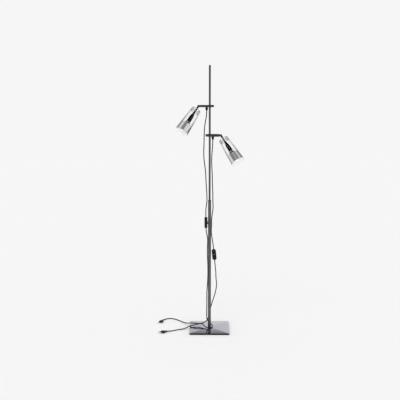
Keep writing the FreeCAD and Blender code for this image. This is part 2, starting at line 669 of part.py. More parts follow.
def switch_placement(top, bottom, face):
    """Placement that lays the switch's y along the lead, upward, and its z along the face's direction."""
    top = FreeCAD.Vector(*top)
    bottom = FreeCAD.Vector(*bottom)
    along = (top - bottom).normalize()
    across = along.cross(FreeCAD.Vector(*face)).normalize()
    outward = across.cross(along)
    turn = FreeCAD.Rotation(across, along, outward, "XYZ")
    centre = (top + bottom) * 0.5 - outward * (SWITCH_THICKNESS / 2)
    return FreeCAD.Placement(centre, turn)


def make_plug():
    """Plug in its own frame: y along the lead from its tail to its face, z up from its underside."""
    outline = [(width, station) for station, width in PLUG_HALF_WIDTHS]
    outline += [(-width, station) for station, width in reversed(PLUG_HALF_WIDTHS)]
    body = prism(outline, 0, PLUG_THICKNESS)
    flat_edges = [e for e in body.Edges if e.BoundBox.ZLength < 0.01 and e.BoundBox.YMax > 0.1]
    body = body.makeChamfer(PLUG_CHAMFER, flat_edges)
    pins = []
    for x in (-PIN_SPACING / 2, PIN_SPACING / 2):
        pin = rod(PIN_R, PLUG_LENGTH, PLUG_LENGTH + PIN_LENGTH, Y_AXIS, x=x)
        tip_edges = [e for e in pin.Edges if e.CenterOfMass.y > PLUG_LENGTH + PIN_LENGTH - 0.1]
        pin = pin.makeChamfer(PIN_CHAMFER, tip_edges)
        pins.append(moved(pin, FreeCAD.Placement(Z_AXIS * (PLUG_THICKNESS / 2), FreeCAD.Rotation())))
    return {"plug_body": body, "plug_pins": Part.makeCompound(pins)}


def plug_placement(route):
    """Placement at the route's last point, level, facing the way the lead's last run points."""
    before = FreeCAD.Vector(*route[-2])
    tail = FreeCAD.Vector(*route[-1])
    along = tail - before
    along.z = 0
    along.normalize()
    across = along.cross(Z_AXIS)
    turn = FreeCAD.Rotation(across, along, Z_AXIS, "XYZ")
    return FreeCAD.Placement(FreeCAD.Vector(tail.x, tail.y, PLUG_LIFT), turn)


# ---------------------------------------------------------------- leads

def make_lead(name, route):
    """Round lead along straight runs joined by tangent arcs; prints its length, radii and volume."""
    points = [FreeCAD.Vector(*p) for p in route]
    edges = []
    radii = []
    cursor = points[0]
    for before, corner, after in zip(points, points[1:], points[2:]):
        arriving = (corner - before).normalize()
        leaving = (after - corner).normalize()
        shorter = min((corner - before).Length, (after - corner).Length)
        half_turn = arriving.getAngle(leaving) / 2
        reach = LEAD_ARC_SHARE * shorter
        radius = reach / math.tan(half_turn)
        inward = (leaving - arriving).normalize()
        arc_start = corner - arriving * reach
        arc_end = corner + leaving * reach
        arc_middle = corner + inward * (radius / math.cos(half_turn) - radius)
        edges.append(Part.LineSegment(cursor, arc_start).toShape())
        edges.append(Part.Arc(arc_start, arc_middle, arc_end).toShape())
        radii.append(radius)
        cursor = arc_end
    edges.append(Part.LineSegment(cursor, points[-1]).toShape())
    path = Part.Wire(edges)
    section = Part.Wire([Part.Circle(points[0], points[1] - points[0], LEAD_R).toShape()])
    lead = path.makePipeShell([section], True, False)
    expected = math.pi * LEAD_R ** 2 * path.Length
    print(name, "length %.0f mm," % path.Length, "volume share %.4f," % (lead.Volume / expected),
          "radii", [round(radius) for radius in radii])
    return lead


# ---------------------------------------------------------------- assembly

def make_all():
    pieces = {}
    pieces.update(make_base())
    pieces.update(make_pole())
    for prefix, lamp in LAMPS.items():
        for name, shape in make_lamp(lamp).items():
            pieces[prefix + "_" + name] = shape
    leads = {
        "upper": (UPPER_HANGING_ROUTE, UPPER_FLOOR_ROUTE, UPPER_SWITCH_FACE),
        "lower": (LOWER_HANGING_ROUTE, LOWER_FLOOR_ROUTE, LOWER_SWITCH_FACE),
    }
    for prefix, (hanging, floor, face) in leads.items():
        pieces[prefix + "_cord_hanging"] = make_lead(prefix + " hanging", hanging)
        pieces[prefix + "_cord_floor"] = make_lead(prefix + " floor", floor)
        place = switch_placement(hanging[-1], floor[0], face)
        for name, shape in make_switch().items():
            pieces[prefix + "_" + name] = moved(shape, place)
        place = plug_placement(floor)
        for name, shape in make_plug().items():
            pieces[prefix + "_" + name] = moved(shape, place)
    return pieces


def main():
    os.makedirs("parts", exist_ok=True)
    for name, shape in make_all().items():
        if not shape.isValid() or not shape.Solids:
            raise RuntimeError(name + " is not a valid solid")
        shape.exportStep(os.path.join("parts", name + ".step"))


main()
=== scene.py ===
import math

import bpy
import numpy as np
from bpy.props import FloatProperty, FloatVectorProperty, IntProperty, PointerProperty
from mathutils import Matrix, Vector


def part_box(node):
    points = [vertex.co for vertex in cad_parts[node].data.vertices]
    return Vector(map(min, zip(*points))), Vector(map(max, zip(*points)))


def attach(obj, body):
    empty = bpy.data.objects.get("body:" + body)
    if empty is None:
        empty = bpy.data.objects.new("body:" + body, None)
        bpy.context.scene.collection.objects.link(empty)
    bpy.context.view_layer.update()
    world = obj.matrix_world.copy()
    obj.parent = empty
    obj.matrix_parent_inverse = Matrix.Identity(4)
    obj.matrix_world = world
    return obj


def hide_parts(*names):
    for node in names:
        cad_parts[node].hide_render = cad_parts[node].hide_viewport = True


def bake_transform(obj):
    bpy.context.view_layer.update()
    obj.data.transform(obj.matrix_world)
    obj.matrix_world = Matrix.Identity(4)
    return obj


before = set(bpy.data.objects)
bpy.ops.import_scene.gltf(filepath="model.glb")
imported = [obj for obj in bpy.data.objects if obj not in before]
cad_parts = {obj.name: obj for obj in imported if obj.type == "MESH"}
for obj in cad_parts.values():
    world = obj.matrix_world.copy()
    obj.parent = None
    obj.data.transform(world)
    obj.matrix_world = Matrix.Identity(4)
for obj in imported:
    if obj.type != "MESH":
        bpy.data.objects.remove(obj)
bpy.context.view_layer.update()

# A floor lamp with two swivelling glass spots on one slim pole, a switch in each lead.
# Shapes are worked out in millimetres in each piece's own frame, then placed and made in metres.

bl_info = {
    "name": "Twin-spot pole floor lamp",
    "version": (1, 0, 0),
    "blender": (4, 5, 0),
    "location": "3D View > Sidebar > Floor lamp",
    "description": "Finishes the two-spot floor lamp around its packed frame",
    "category": "Add Mesh",
}

MM = 0.001
IN_PLACE = Matrix.Identity(4)

# Lamps: the way the bracket points and the elbow's roll, in degrees
LAMPS = {"upper": {"turn": 180.0, "roll": 30.0}, "lower": {"turn": 0.0, "roll": -30.0}}
STEM_TILT = 150.0
PIVOT = 66.5

# Plate and pole
PLATE_CORNER = 1.4
TUBE_WALL = 1.5
ROD_WALL = 1.4
END_GAP = 0.05

# Round bracket: disc, bush and screws, and the grip under it
DISC_R = 44.0
DISC_OFFSET = 18.5
DISC_HALF = 6.5
HOLE_R = 9.1
PARTING = 5.0
PARTING_GAP = 0.06
PAN_WALL = 1.5
BUSH_R = 9.0
BUSH_BORE_R = 6.05
SCREW_CIRCLE_R = 36.0
SCREW_TURNS = (60.0, 180.0, 300.0)
GRIP_LENGTH = 20.2
GRIP_TOP = -DISC_HALF + 0.05
GRIP_R = 7.5
GRIP_TIP_R = 4.4
GRIP_RIBS = 6

# Elbow, stem, holder and bulb: stations along the stem, from the pivot, and radii
KNUCKLE_R = 6.3
STEM_START = 14.0
STEM_END = 68.0
STEM_R = 5.5
STEM_BORE_R = 4.0
SLEEVE_START = 46.0
SLEEVE_END = 54.4
SLEEVE_R = 6.2
SLEEVE_BORE_R = 5.52
CAP_START = 54.0
CAP_END = 83.8
HOLDER_START = 84.0
HOLDER_END = 125.0
HOLDER_START_R = 12.0
HOLDER_END_R = 13.5
RING_START = 126.6
RING_END = 132.9
RING_R = 14.2
RING_BORE_R = 11.95
BULB_CONE_START = 136.0
BULB_SHOULDER = 171.0
BULB_END = 190.0
BULB_NECK_R = 6.8
BULB_R = 25.0

# Shade, in the same stations: the glass cone with its collar, and the band at its mouth
SHADE_START = 30.0
SHADE_START_R = 29.5
SHADE_END = 200.0
SHADE_END_R = 41.0
BAND_START = 144.0
GLASS_END = 148.0
GLASS_WALL = 4.0
BAND_WALL = 1.2
COLLAR_R = 19.5
COLLAR_END = 44.0
COLLAR_FOOT = 48.0

# Band: steps in each eased corner, the corner where its white inside begins, and that inside's painted glow
BAND_STEPS = 5
LINING_FROM = 9
LINING_PAINTED_GLOW = 0.15

# Switch: sizes in its own frame, and its rounded edge as (inset, rise)
SWITCH_LENGTH = 66.0
SWITCH_WIDTH = 26.0
SWITCH_THICKNESS = 17.5
SWITCH_PARTING = SWITCH_THICKNESS / 2
SWITCH_CORNER = 7.0
SWITCH_WALL = 1.6
SWITCH_SCREW_Y = 22.0
PARTING_STEP = 0.35
EDGE_ROUND = ((1.5, 0.0), (0.8, 0.2), (0.25, 0.75), (0.0, 1.5))
WINDOW_HALF_WIDTH = 6.0
WINDOW_HALF_LENGTH = 10.0
ROCKER_PIVOT = 14.5
ROCKER_TILT = 6.0

# Plug: half sizes as (station, half size) from its tail to its face
PLUG_LENGTH = 36.0
PLUG_HALF_WIDTHS = ((0.0, 4.6), (11.0, 5.6), (21.0, 13.0), (32.0, 13.0), (36.0, 11.0))
PLUG_HALF_HEIGHTS = ((0.0, 4.4), (11.0, 5.0), (22.0, 6.5), (34.0, 6.5), (36.0, 5.6))
PLUG_MIDDLE = 6.6
PIN_X = 9.3

# Leads, in metres: the hanging lead is two pieces, parted this far below its grip
HANGING_SPLIT = 0.11
TUBE_SIDES = 16

# Routes of the leads: hanging from the grip to the switch, then down the pole and over the floor
UPPER_HANGING_ROUTE = [
    (-0.0185, 0, 1.3473), (-0.0185, 0, 1.322), (-0.0245, -0.0025, 1.289), (-0.0315, -0.004, 1.25),
    (-0.0333, -0.005, 1.2), (-0.0342, -0.006, 1.15), (-0.0362, -0.007, 1.092), (-0.033, -0.008, 1.042),
    (-0.0245, -0.009, 0.99), (-0.022, -0.011, 0.925), (-0.0175, -0.012, 0.865), (-0.015, -0.013, 0.806),
    (-0.0215, -0.015, 0.768), (-0.023, -0.016, 0.736), (-0.0222, -0.016, 0.707),
]
UPPER_FLOOR_ROUTE = [
    (-0.022, -0.016, 0.641), (-0.0193, -0.0155, 0.613), (-0.0105, -0.014, 0.574),
    (-0.013, -0.012, 0.524), (-0.0135, -0.011, 0.47), (-0.01, -0.012, 0.415), (-0.0095, -0.013, 0.355),
    (-0.0115, -0.011, 0.3), (-0.0155, -0.009, 0.245), (-0.016, -0.006, 0.19), (-0.016, -0.002, 0.148),
    (-0.017, 0.003, 0.112), (-0.017, 0.007, 0.084), (-0.016, 0.016, 0.06), (-0.009, 0.027, 0.04),
    (0.006, 0.028, 0.026), (0.018, 0.017, 0.017), (0.02, -0.003, 0.014), (0.0125, -0.0215, 0.0135),
    (-0.004, -0.031, 0.014), (-0.022, -0.0265, 0.0175), (-0.0325, -0.01, 0.023), (-0.04, 0.007, 0.0265),
    (-0.056, 0.016, 0.0275), (-0.078, 0.018, 0.0275), (-0.1, 0.023, 0.027), (-0.12, 0.038, 0.023),
    (-0.139, 0.062, 0.014), (-0.157, 0.096, 0.006), (-0.184, 0.134, 0.003), (-0.216, 0.171, 0.003),
    (-0.248, 0.19, 0.003), (-0.275, 0.184, 0.003), (-0.293, 0.164, 0.0035), (-0.3005, 0.1388, 0.0069),
]
LOWER_HANGING_ROUTE = [
    (0.0185, 0, 1.1738), (0.0185, 0, 1.148), (0.015, -0.002, 1.108), (0.0115, -0.005, 1.062),
    (0.0125, -0.008, 1.015), (0.016, -0.01, 0.965), (0.0165, -0.011, 0.91), (0.0195, -0.012, 0.858),
    (0.0195, -0.013, 0.805), (0.022, -0.014, 0.765), (0.016, -0.015, 0.727), (0.012, -0.015, 0.69),
    (0.0125, -0.015, 0.652), (0.0098, -0.015, 0.62), (0.015, -0.015, 0.578), (0.0225, -0.014, 0.538),
    (0.025, -0.014, 0.5083),
]
LOWER_FLOOR_ROUTE = [
    (0.0315, -0.014, 0.4427), (0.034, -0.0125, 0.413), (0.039, -0.008, 0.368), (0.04, -0.004, 0.325),
    (0.045, 0, 0.285), (0.04, 0.005, 0.245), (0.029, 0.011, 0.203), (0.016, 0.017, 0.162),
    (0.006, 0.021, 0.124), (-0.0005, 0.025, 0.093), (-0.0055, 0.0285, 0.068), (-0.012, 0.031, 0.049),
    (-0.024, 0.028, 0.035), (-0.042, 0.026, 0.027), (-0.064, 0.027, 0.022), (-0.086, 0.023, 0.019),
    (-0.105, 0.01, 0.017), (-0.123, -0.003, 0.0165), (-0.141, -0.014, 0.01), (-0.164, -0.021, 0.0035),
    (-0.194, -0.032, 0.003), (-0.22, -0.048, 0.003), (-0.24, -0.06, 0.0035), (-0.26, -0.071, 0.0069),
]
LEADS = {
    "upper": {"hanging": UPPER_HANGING_ROUTE, "floor": UPPER_FLOOR_ROUTE, "face": (1, 0, 0)},
    "lower": {"hanging": LOWER_HANGING_ROUTE, "floor": LOWER_FLOOR_ROUTE, "face": (0, -1, 0)},
}


# ---------------------------------------------------------------- settings

def colour_property(name, description, default):
    return FloatVectorProperty(name=name, description=description, default=default,
                               subtype="COLOR", size=3, min=0.0, max=1.0)


def length_property(name, description, default, low=0.0):
    return FloatProperty(name=name, description=description, default=default, min=low, unit="LENGTH")


class FLOORLAMP_PG_stage(bpy.types.PropertyGroup):
    """Where the lamp stands and how it is seen and lit."""

    background: colour_property("Background", "Plain paper behind the lamp", (0.921, 0.921, 0.921))
    floor_size: length_property("Floor size", "Side of the square floor", 30.0, 1.0)
    camera_distance: length_property("Camera distance", "From the pole to the camera, along -Y", 4.0984)
    camera_height: length_property("Camera height", "Of the lens above the floor", 1.4017)
    camera_pitch: FloatProperty(name="Camera pitch", description="How far the camera looks down",
                                default=math.radians(8.219), subtype="ANGLE")
    camera_roll: FloatProperty(name="Camera roll", description="How far the camera leans",
                               default=math.radians(0.814), subtype="ANGLE")
    lens: FloatProperty(name="Lens", description="Focal length on a 36 mm frame", default=61.45,
                        min=10.0, subtype="DISTANCE_CAMERA")


class FLOORLAMP_PG_base(bpy.types.PropertyGroup):
    """The square plate."""

    polish: colour_property("Polished face", "Mirror-polished steel of the top", (0.595, 0.588, 0.640))
    # Painted shade: near-black on the plate's sides and eased top edge
    edge: colour_property("Plate edge shade", "Near-black painted shade on the plate's sides and eased top edge", (0.002, 0.002, 0.002))
    bevel: length_property("Edge rounding", "How far the plate's edges are eased", 0.0008)


class FLOORLAMP_PG_pole(bpy.types.PropertyGroup):
    """The tube, the rod and what joins them."""

    tube: colour_property("Tube", "Dark brushed steel of the lower half", (0.13, 0.13, 0.133))
    rod: colour_property("Rod", "Dark brushed steel of the upper half", (0.10, 0.10, 0.102))
    ferrule: colour_property("Ferrule", "Shoulder between tube and rod", (0.07, 0.07, 0.072))
    sides: IntProperty(name="Sides", description="Facets round the pole", default=64, min=16, max=256)


class FLOORLAMP_PG_spots(bpy.types.PropertyGroup):
    """Brackets, stems, holders, bulbs and shades."""

    # The cover's top is far darker than the pan's side: painted shade on one dark steel
    cover: colour_property("Bracket cover with painted shade", "Top face of the round brackets, darker as painted shade", (0.008, 0.008, 0.008))
    pan: colour_property("Bracket pan", "Side and underside of the brackets", (0.055, 0.055, 0.056))
    stem: colour_property("Stem", "Grey steel of the stems", (0.05, 0.05, 0.051))
    holder: colour_property("Holder", "Black moulded lampholder", (0.002, 0.002, 0.002))
    glass: colour_property("Glass", "Tint of the clear cone", (0.985, 0.985, 0.99))
    # Painted shade on the glass where it is seen edge-on
    glass_edge_shade: colour_property("Glass edge shade", "Painted shade of the glass where it is seen edge-on", (0.26, 0.26, 0.265))
    lining: colour_property("Lining", "White enamel inside the band and on its carrier", (0.90, 0.90, 0.90))
    band: colour_property("Band", "Polished metal at the mouth", (0.70, 0.70, 0.71))
    bulb: colour_property("Bulb", "Frosted white glass", (0.93, 0.93, 0.925))
    sides: IntProperty(name="Sides", description="Facets round shades and discs", default=128,
                       min=24, max=512)


class FLOORLAMP_PG_leads(bpy.types.PropertyGroup):
    """Leads, switches and plugs."""

    diameter: length_property("Lead diameter", "Outer diameter of the leads", 0.006, 0.001)
    jacket: colour_property("Lead", "Black soft jacket", (0.008, 0.008, 0.008))
    housing: colour_property("Housing", "Black moulded switches and plugs", (0.003, 0.003, 0.003))
    mark: colour_property("Rocker mark", "Small pale dot on each rocker", (0.6, 0.6, 0.6))


class FLOORLAMP_PG_settings(bpy.types.PropertyGroup):
    """All settings of the lamp."""

    stage: PointerProperty(type=FLOORLAMP_PG_stage)
    base: PointerProperty(type=FLOORLAMP_PG_base)
    pole: PointerProperty(type=FLOORLAMP_PG_pole)
    spots: PointerProperty(type=FLOORLAMP_PG_spots)
    leads: PointerProperty(type=FLOORLAMP_PG_leads)


# ---------------------------------------------------------------- surfaces

def eased(points, reach, steps=4, on_axis=False):
    """Outline with every corner eased.

    Each corner becomes a parabola that leaves one side the reach before the corner and joins the next side
    the reach after it: start*(1-t)^2 + corner*2t(1-t) + end*t^2. With on_axis the outline starts and ends
    with a flat run from the axis, which is left out of the result.
    """
    points = np.asarray(points, float)
    reach = np.broadcast_to(np.asarray(reach, float), len(points))
    if on_axis:
        points = np.vstack([[0.0, points[0, 1]], points, [0.0, points[-1, 1]]])
        reach = np.concatenate([[0.1], reach, [0.1]])
    before = np.roll(points, 1, axis=0) - points
    after = np.roll(points, -1, axis=0) - points
    before_length = np.linalg.norm(before, axis=1)
    after_length = np.linalg.norm(after, axis=1)
    cut = np.minimum(np.maximum(reach, 0.02), 0.45 * np.minimum(before_length, after_length))
    start = points + before * (cut / before_length)[:, None]
    end = points + after * (cut / after_length)[:, None]
    t = np.linspace(0.0, 1.0, steps + 1)[None, :, None]
    curve = (1 - t) ** 2 * start[:, None] + 2 * t * (1 - t) * points[:, None] + t ** 2 * end[:, None]
    if on_axis:
        curve = curve[1:-1]
    return curve.reshape(-1, 2)


def turned(profile, sides, flutes=0, depth=0.0):
    """Rings of a (radius, station) profile carried round Z.

    A point is (r cos a, r sin a, station). Flutes cut the radius by depth*(1 + cos(flutes*a))/2.
    """
    angle = np.linspace(0.0, 2 * np.pi, sides, endpoint=False)[None, :]
    radius = profile[:, :1] - depth * (1 + np.cos(flutes * angle)) / 2
    station = np.broadcast_to(profile[:, 1:], radius.shape)
    return np.stack([radius * np.cos(angle), radius * np.sin(angle), station], axis=-1)


def off_centre(profile, sides, inner, outer, shift):
    """Rings of a (radius, station) profile whose centre slides along X as the radius grows.

    The centre stands at x = shift*(radius - inner)/(outer - inner), so the innermost ring goes round the
    pole and the outermost round the disc's own middle.
    """
    rings = turned(profile, sides)
    share = np.clip((profile[:, 0] - inner) / (outer - inner), 0.0, 1.0)
    rings[:, :, 0] += (shift * share)[:, None]
    return rings


def stacked(outlines, heights):
    """Rings of outlines laid one over the other: outline k lies level at height k."""
    flat = np.stack(outlines)
    level = np.broadcast_to(np.asarray(heights, float)[:, None, None], flat.shape[:2] + (1,))
    return np.concatenate([flat, level], axis=-1)


def swept(line, radius, sides, reference):
    """Rings of a round tube: round every point of the line, a circle square to the line's direction.

    The circle's two axes are the direction crossed with the reference, and the direction crossed with that.
    """
    direction = np.gradient(line, axis=0)
    direction /= np.linalg.norm(direction, axis=1)[:, None]
    side = np.cross(direction, np.asarray(reference, float))
    side /= np.linalg.norm(side, axis=1)[:, None]
    other = np.cross(direction, side)
    angle = np.linspace(0.0, 2 * np.pi, sides, endpoint=False)[None, :, None]
    return line[:, None] + radius * (np.cos(angle) * side[:, None] + np.sin(angle) * other[:, None])


def tube_outline(bore, radius, low, high):
    """Outline of a plain tube's wall, as (radius, station) corners."""
    return [(bore, low), (radius, low), (radius, high), (bore, high)]


def octagon(w, h, corner, reach):
    """Rectangle of half sizes w and h with cut corners, eased, drawn anticlockwise from its right side."""
    points = [(w, -h + corner), (w, h - corner), (w - corner, h), (-w + corner, h),
              (-w, h - corner), (-w, -h + corner), (-w + corner, -h), (w - corner, -h)]
    return eased(points, reach)


def shell_faces(rings, closed, first=0):
    """Faces of one shell: quads between neighbouring rings, and a fan over each end that isn't closed."""
    rows, columns = rings.shape[:2]
    row = np.arange(rows if closed else rows - 1)[:, None]
    next_row = (row + 1) % rows
    column = np.arange(columns)
    following = (column + 1) % columns
    corners = [row * columns + column, row * columns + following,
               next_row * columns + following, next_row * columns + column]
    faces = (np.stack(corners, axis=-1).reshape(-1, 4) + first).tolist()
    if not closed:
        start = np.full(columns, rows * columns)
        last = (rows - 1) * columns
        faces += (np.stack([start, following, column], axis=1) + first).tolist()
        faces += (np.stack([start + 1, last + column, last + following], axis=1) + first).tolist()
    return faces


def shell_points(rings, closed):
    """Points of one shell: its rings, and the middle of each end that isn't closed."""
    points = rings.reshape(-1, 3)
    if closed:
        return points
    return np.concatenate([points, rings[0].mean(0)[None], rings[-1].mean(0)[None]])


# ---------------------------------------------------------------- placing and making pieces

def placed(points, place):
    """Points carried by a 4x4 placement."""
    place = np.array(place, float)
    return points @ place[:3, :3].T + place[:3, 3]


def middle_height(prefix):
    """Mid-height of a bracket's disc, in millimetres, from the frame."""
    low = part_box(prefix + "_disc_shell")[0].z
    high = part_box(prefix + "_disc_cover")[1].z
    return (low + high) / 2 / MM


def bracket_place(prefix):
    """Frame of a bracket: +X outward, origin on the pole's axis at the disc's mid-height."""
    lift = Matrix.Translation((0, 0, middle_height(prefix)))
    return lift @ Matrix.Rotation(math.radians(LAMPS[prefix]["turn"]), 4, "Z")


def rolled_place(prefix):
    """Frame of a bracket, rolled about +X as its elbow is."""
    return bracket_place(prefix) @ Matrix.Rotation(math.radians(LAMPS[prefix]["roll"]), 4, "X")


def knuckle_place(prefix):
    """Frame of the elbow's drum: +Z outward along the axis that it turns about."""
    return rolled_place(prefix) @ Matrix.Rotation(math.radians(90), 4, "Y")


def stem_place(prefix):
    """Frame of a head: +Z along the stem, origin at the elbow's pivot."""
    tilt = Matrix.Rotation(math.radians(STEM_TILT), 4, "Y")
    return rolled_place(prefix) @ Matrix.Translation((PIVOT, 0, 0)) @ tilt


def switch_place(prefix):
    """Frame of a switch: y up along the lead, z towards the rocker's face, origin in its back."""
    top = Vector(LEADS[prefix]["hanging"][-1]) / MM
    bottom = Vector(LEADS[prefix]["floor"][0]) / MM
    along = (top - bottom).normalized()
    across = along.cross(Vector(LEADS[prefix]["face"])).normalized()
    outward = across.cross(along)
    centre = (top + bottom) / 2 - outward * (SWITCH_THICKNESS / 2)
    turn = Matrix((across, along, outward)).transposed().to_4x4()
    return Matrix.Translation(centre) @ turn


def plug_place(prefix):
    """Frame of a plug: y along the lead's last run, level, z up from its underside."""
    before, tail = (Vector(point) / MM for point in LEADS[prefix]["floor"][-2:])
    along = tail - before
    along.z = 0
    along.normalize()
    across = along.cross(Vector((0, 0, 1)))
    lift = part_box(prefix + "_plug_body")[0].z / MM
    turn = Matrix((across, along, Vector((0, 0, 1)))).transposed().to_4x4()
    return Matrix.Translation((tail.x, tail.y, lift)) @ turn


def make_piece(name, shells, place, body, materials, nodes=(), sharp=32.0):
    """Makes one piece from its shells, each (rings, closed), places it and rides it on its body.

    The attribute "own" keeps every point's place in the piece's own frame, in metres, for its finish.
    """
    groups = []
    faces = []
    first = 0
    for rings, closed in shells:
        points = shell_points(rings, closed)
        faces += shell_faces(rings, closed, first)
        groups.append(points)
        first += len(points)
    own = np.concatenate(groups)
    mesh = bpy.data.meshes.new(name)
    mesh.from_pydata((placed(own, place) * MM).tolist(), [], faces)
    attribute = mesh.attributes.new("own", "FLOAT_VECTOR", "POINT")
    attribute.data.foreach_set("vector", (own * MM).astype(np.float32).ravel())
    return finish_piece(name, mesh, body, materials, nodes, sharp)


def finish_piece(name, mesh, body, materials, nodes=(), sharp=32.0):
    """Smooth shading, materials, body, and hiding the nodes that the piece stands for."""
    mesh.polygons.foreach_set("use_smooth", np.ones(len(mesh.polygons), bool))
    mesh.set_sharp_from_angle(angle=math.radians(sharp))
    for material in materials:
        mesh.materials.append(material)
    mesh.validate()
    piece = bpy.data.objects.new(name, mesh)
    bpy.context.scene.collection.objects.link(piece)
    if body:
        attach(piece, body)
    if nodes:
        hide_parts(*nodes)
    return piece


def turned_piece(node, outline, sides, closed, place, body, material, sharp=32.0):
    """Turned piece of one material that stands for one node of the frame."""
    rings = turned(outline, sides)
    return make_piece(node + "_form", [(rings, closed)], place, body, [material], [node], sharp)


# ---------------------------------------------------------------- shader groups

def add_node(tree, kind, inputs=None, **settings):
    """Adds a node; an input's value is a number, a colour or another node's output socket."""
    made = tree.nodes.new(kind)
    for key, value in settings.items():
        setattr(made, key, value)
    for key, value in (inputs or {}).items():
        if isinstance(value, bpy.types.NodeSocket):
            tree.links.new(value, made.inputs[key])
        else:
            made.inputs[key].default_value = value
    return made


def computed(tree, operation, *values, clamp=False):
    """Result of a Math node on one to three values."""
    made = add_node(tree, "ShaderNodeMath", dict(enumerate(values)), operation=operation, use_clamp=clamp)
    return made.outputs[0]


def spread(tree, value, low, high, to_low=0.0, to_high=1.0):
    """Smoothly maps a value from one range to another."""
    mapped = add_node(tree, "ShaderNodeMapRange", {
        "Value": value, "From Min": low, "From Max": high, "To Min": to_low, "To Max": to_high,
    }, interpolation_type="SMOOTHSTEP")
    return mapped.outputs["Result"]


def noise(tree, vector, scale, detail, roughness=0.5):
    """Soft cloudy noise from 0 to 1."""
    made = add_node(tree, "ShaderNodeTexNoise", {
        "Vector": vector, "Scale": scale, "Detail": detail, "Roughness": roughness,
    })
    return made.outputs["Fac"]


def drawn_lines(tree, given):
    """Fine drawn or turned lines: noise stretched by a different scale along each axis."""
    scaled = add_node(tree, "ShaderNodeVectorMath", {0: given["Vector"], 1: given["Stretch"]},
                      operation="MULTIPLY")
    lines = noise(tree, scaled.outputs[0], 1.0, 5.0, 0.62)
    centred = computed(tree, "SUBTRACT", lines, 0.5)
    tone = computed(tree, "MULTIPLY_ADD", centred, given["Contrast"], 0.5, clamp=True)
    return {"Tone": tone, "Height": lines}


def handling_marks(tree, given):
    """Handling marks: broad soft patches with fine specks in them."""
    mask = spread(tree, noise(tree, given["Vector"], given["Patch scale"], 3.0), 0.42, 0.68)
    dots = spread(tree, noise(tree, given["Vector"], given["Speck scale"], 2.0), 0.60, 0.72)
    return {"Mask": mask, "Specks": computed(tree, "MULTIPLY", mask, dots)}


def moulded_grain(tree, given):
    """Fine leathery grain of moulded parts: small cells with soft borders, and a slow drift of tone."""
    cells = add_node(tree, "ShaderNodeTexVoronoi", {
        "Vector": given["Vector"], "Scale": given["Cell scale"],
    }, feature="SMOOTH_F1")
    drift = spread(tree, noise(tree, given["Vector"], 45.0, 4.0), 0.3, 0.7)
    return {"Height": cells.outputs["Distance"], "Drift": drift}


SHADER_GROUPS = {
    "Drawn lines": (drawn_lines, {"Stretch": (1, 1, 1), "Contrast": 0.5}),
    "Handling marks": (handling_marks, {"Patch scale": 30.0, "Speck scale": 400.0}),
    "Moulded grain": (moulded_grain, {"Cell scale": 900.0}),
}


def shader_group(name):
    """The shader group of this name, made the first time it is asked for."""
    if name in bpy.data.node_groups:
        return bpy.data.node_groups[name]
    work_out, choices = SHADER_GROUPS[name]
    tree = bpy.data.node_groups.new(name, "ShaderNodeTree")
    tree.interface.new_socket("Vector", in_out="INPUT", socket_type="NodeSocketVector")
    for label, default in choices.items():
        kind = "NodeSocketVector" if isinstance(default, tuple) else "NodeSocketFloat"
        tree.interface.new_socket(label, in_out="INPUT", socket_type=kind).default_value = default
    results = work_out(tree, tree.nodes.new("NodeGroupInput").outputs)
    for label in results:
        tree.interface.new_socket(label, in_out="OUTPUT", socket_type="NodeSocketFloat")
    end = tree.nodes.new("NodeGroupOutput")
    for label, value in results.items():
        tree.links.new(value, end.inputs[label])
    return tree


def use_group(tree, name, inputs):
    """Puts a shader group into a tree and returns its outputs."""
    return add_node(tree, "ShaderNodeGroup", inputs, node_tree=shader_group(name)).outputs


# ---------------------------------------------------------------- materials

OWN_FRAME = "own"
WHOLE_FRAME = "whole"
# Painted shade of the glass: the range over which edge-on glass darkens, and the extra shade painted over
# the collar
GLASS_EDGE_SHADE_RANGE = (0.30, 0.80)
COLLAR_PAINTED_SHADE = 0.28
DRAWN_ALONG = (900.0, 900.0, 3.0)
TURNED_ROUND = (25.0, 25.0, 2200.0)


def start_material(name, frame_of_pattern):
    """New material with its output, shader and the vector that its pattern follows."""
    material = bpy.data.materials.new(name)
    material.use_nodes = True
    tree = material.node_tree
    tree.nodes.clear()
    output = tree.nodes.new("ShaderNodeOutputMaterial")
    shader = tree.nodes.new("ShaderNodeBsdfPrincipled")
    tree.links.new(shader.outputs[0], output.inputs["Surface"])
    if frame_of_pattern == OWN_FRAME:
        vector = add_node(tree, "ShaderNodeAttribute", attribute_name="own").outputs["Vector"]
    else:
        vector = tree.nodes.new("ShaderNodeTexCoord").outputs["Object"]
    return material, tree, shader, vector


def blended_colour(tree, factor, first, second):
    """Mixes two colours by a factor that changes over the surface."""
    mix = add_node(tree, "ShaderNodeMix", {6: (*first, 1.0), 7: (*second, 1.0)}, data_type="RGBA")
    tree.links.new(factor, mix.inputs["Factor"])
    return mix.outputs[2]


def scaled_colour(colour, share):
    """Colour made darker or lighter, capped at white."""
    return tuple(min(1.0, channel * share) for channel in colour)


def add_bump(tree, shader, height, distance):
    """Gives a shader its fine relief; the distance is the relief's depth in metres."""
    bump = add_node(tree, "ShaderNodeBump", {"Height": height, "Distance": distance, "Strength": 1.0})
    tree.links.new(bump.outputs[0], shader.inputs["Normal"])


def finish_surface(tree, shader, colour, tone, drift, marks, rough, relief, bump):
    """Tone that drifts to both sides of the colour, marks that dull the gloss, and a fine relief."""
    blended = blended_colour(tree, tone, scaled_colour(colour, 1 - drift), scaled_colour(colour, 1 + drift))
    tree.links.new(blended, shader.inputs["Base Color"])
    tree.links.new(spread(tree, marks["Mask"], 0.0, 1.0, *rough), shader.inputs["Roughness"])
    add_bump(tree, shader, relief, bump)


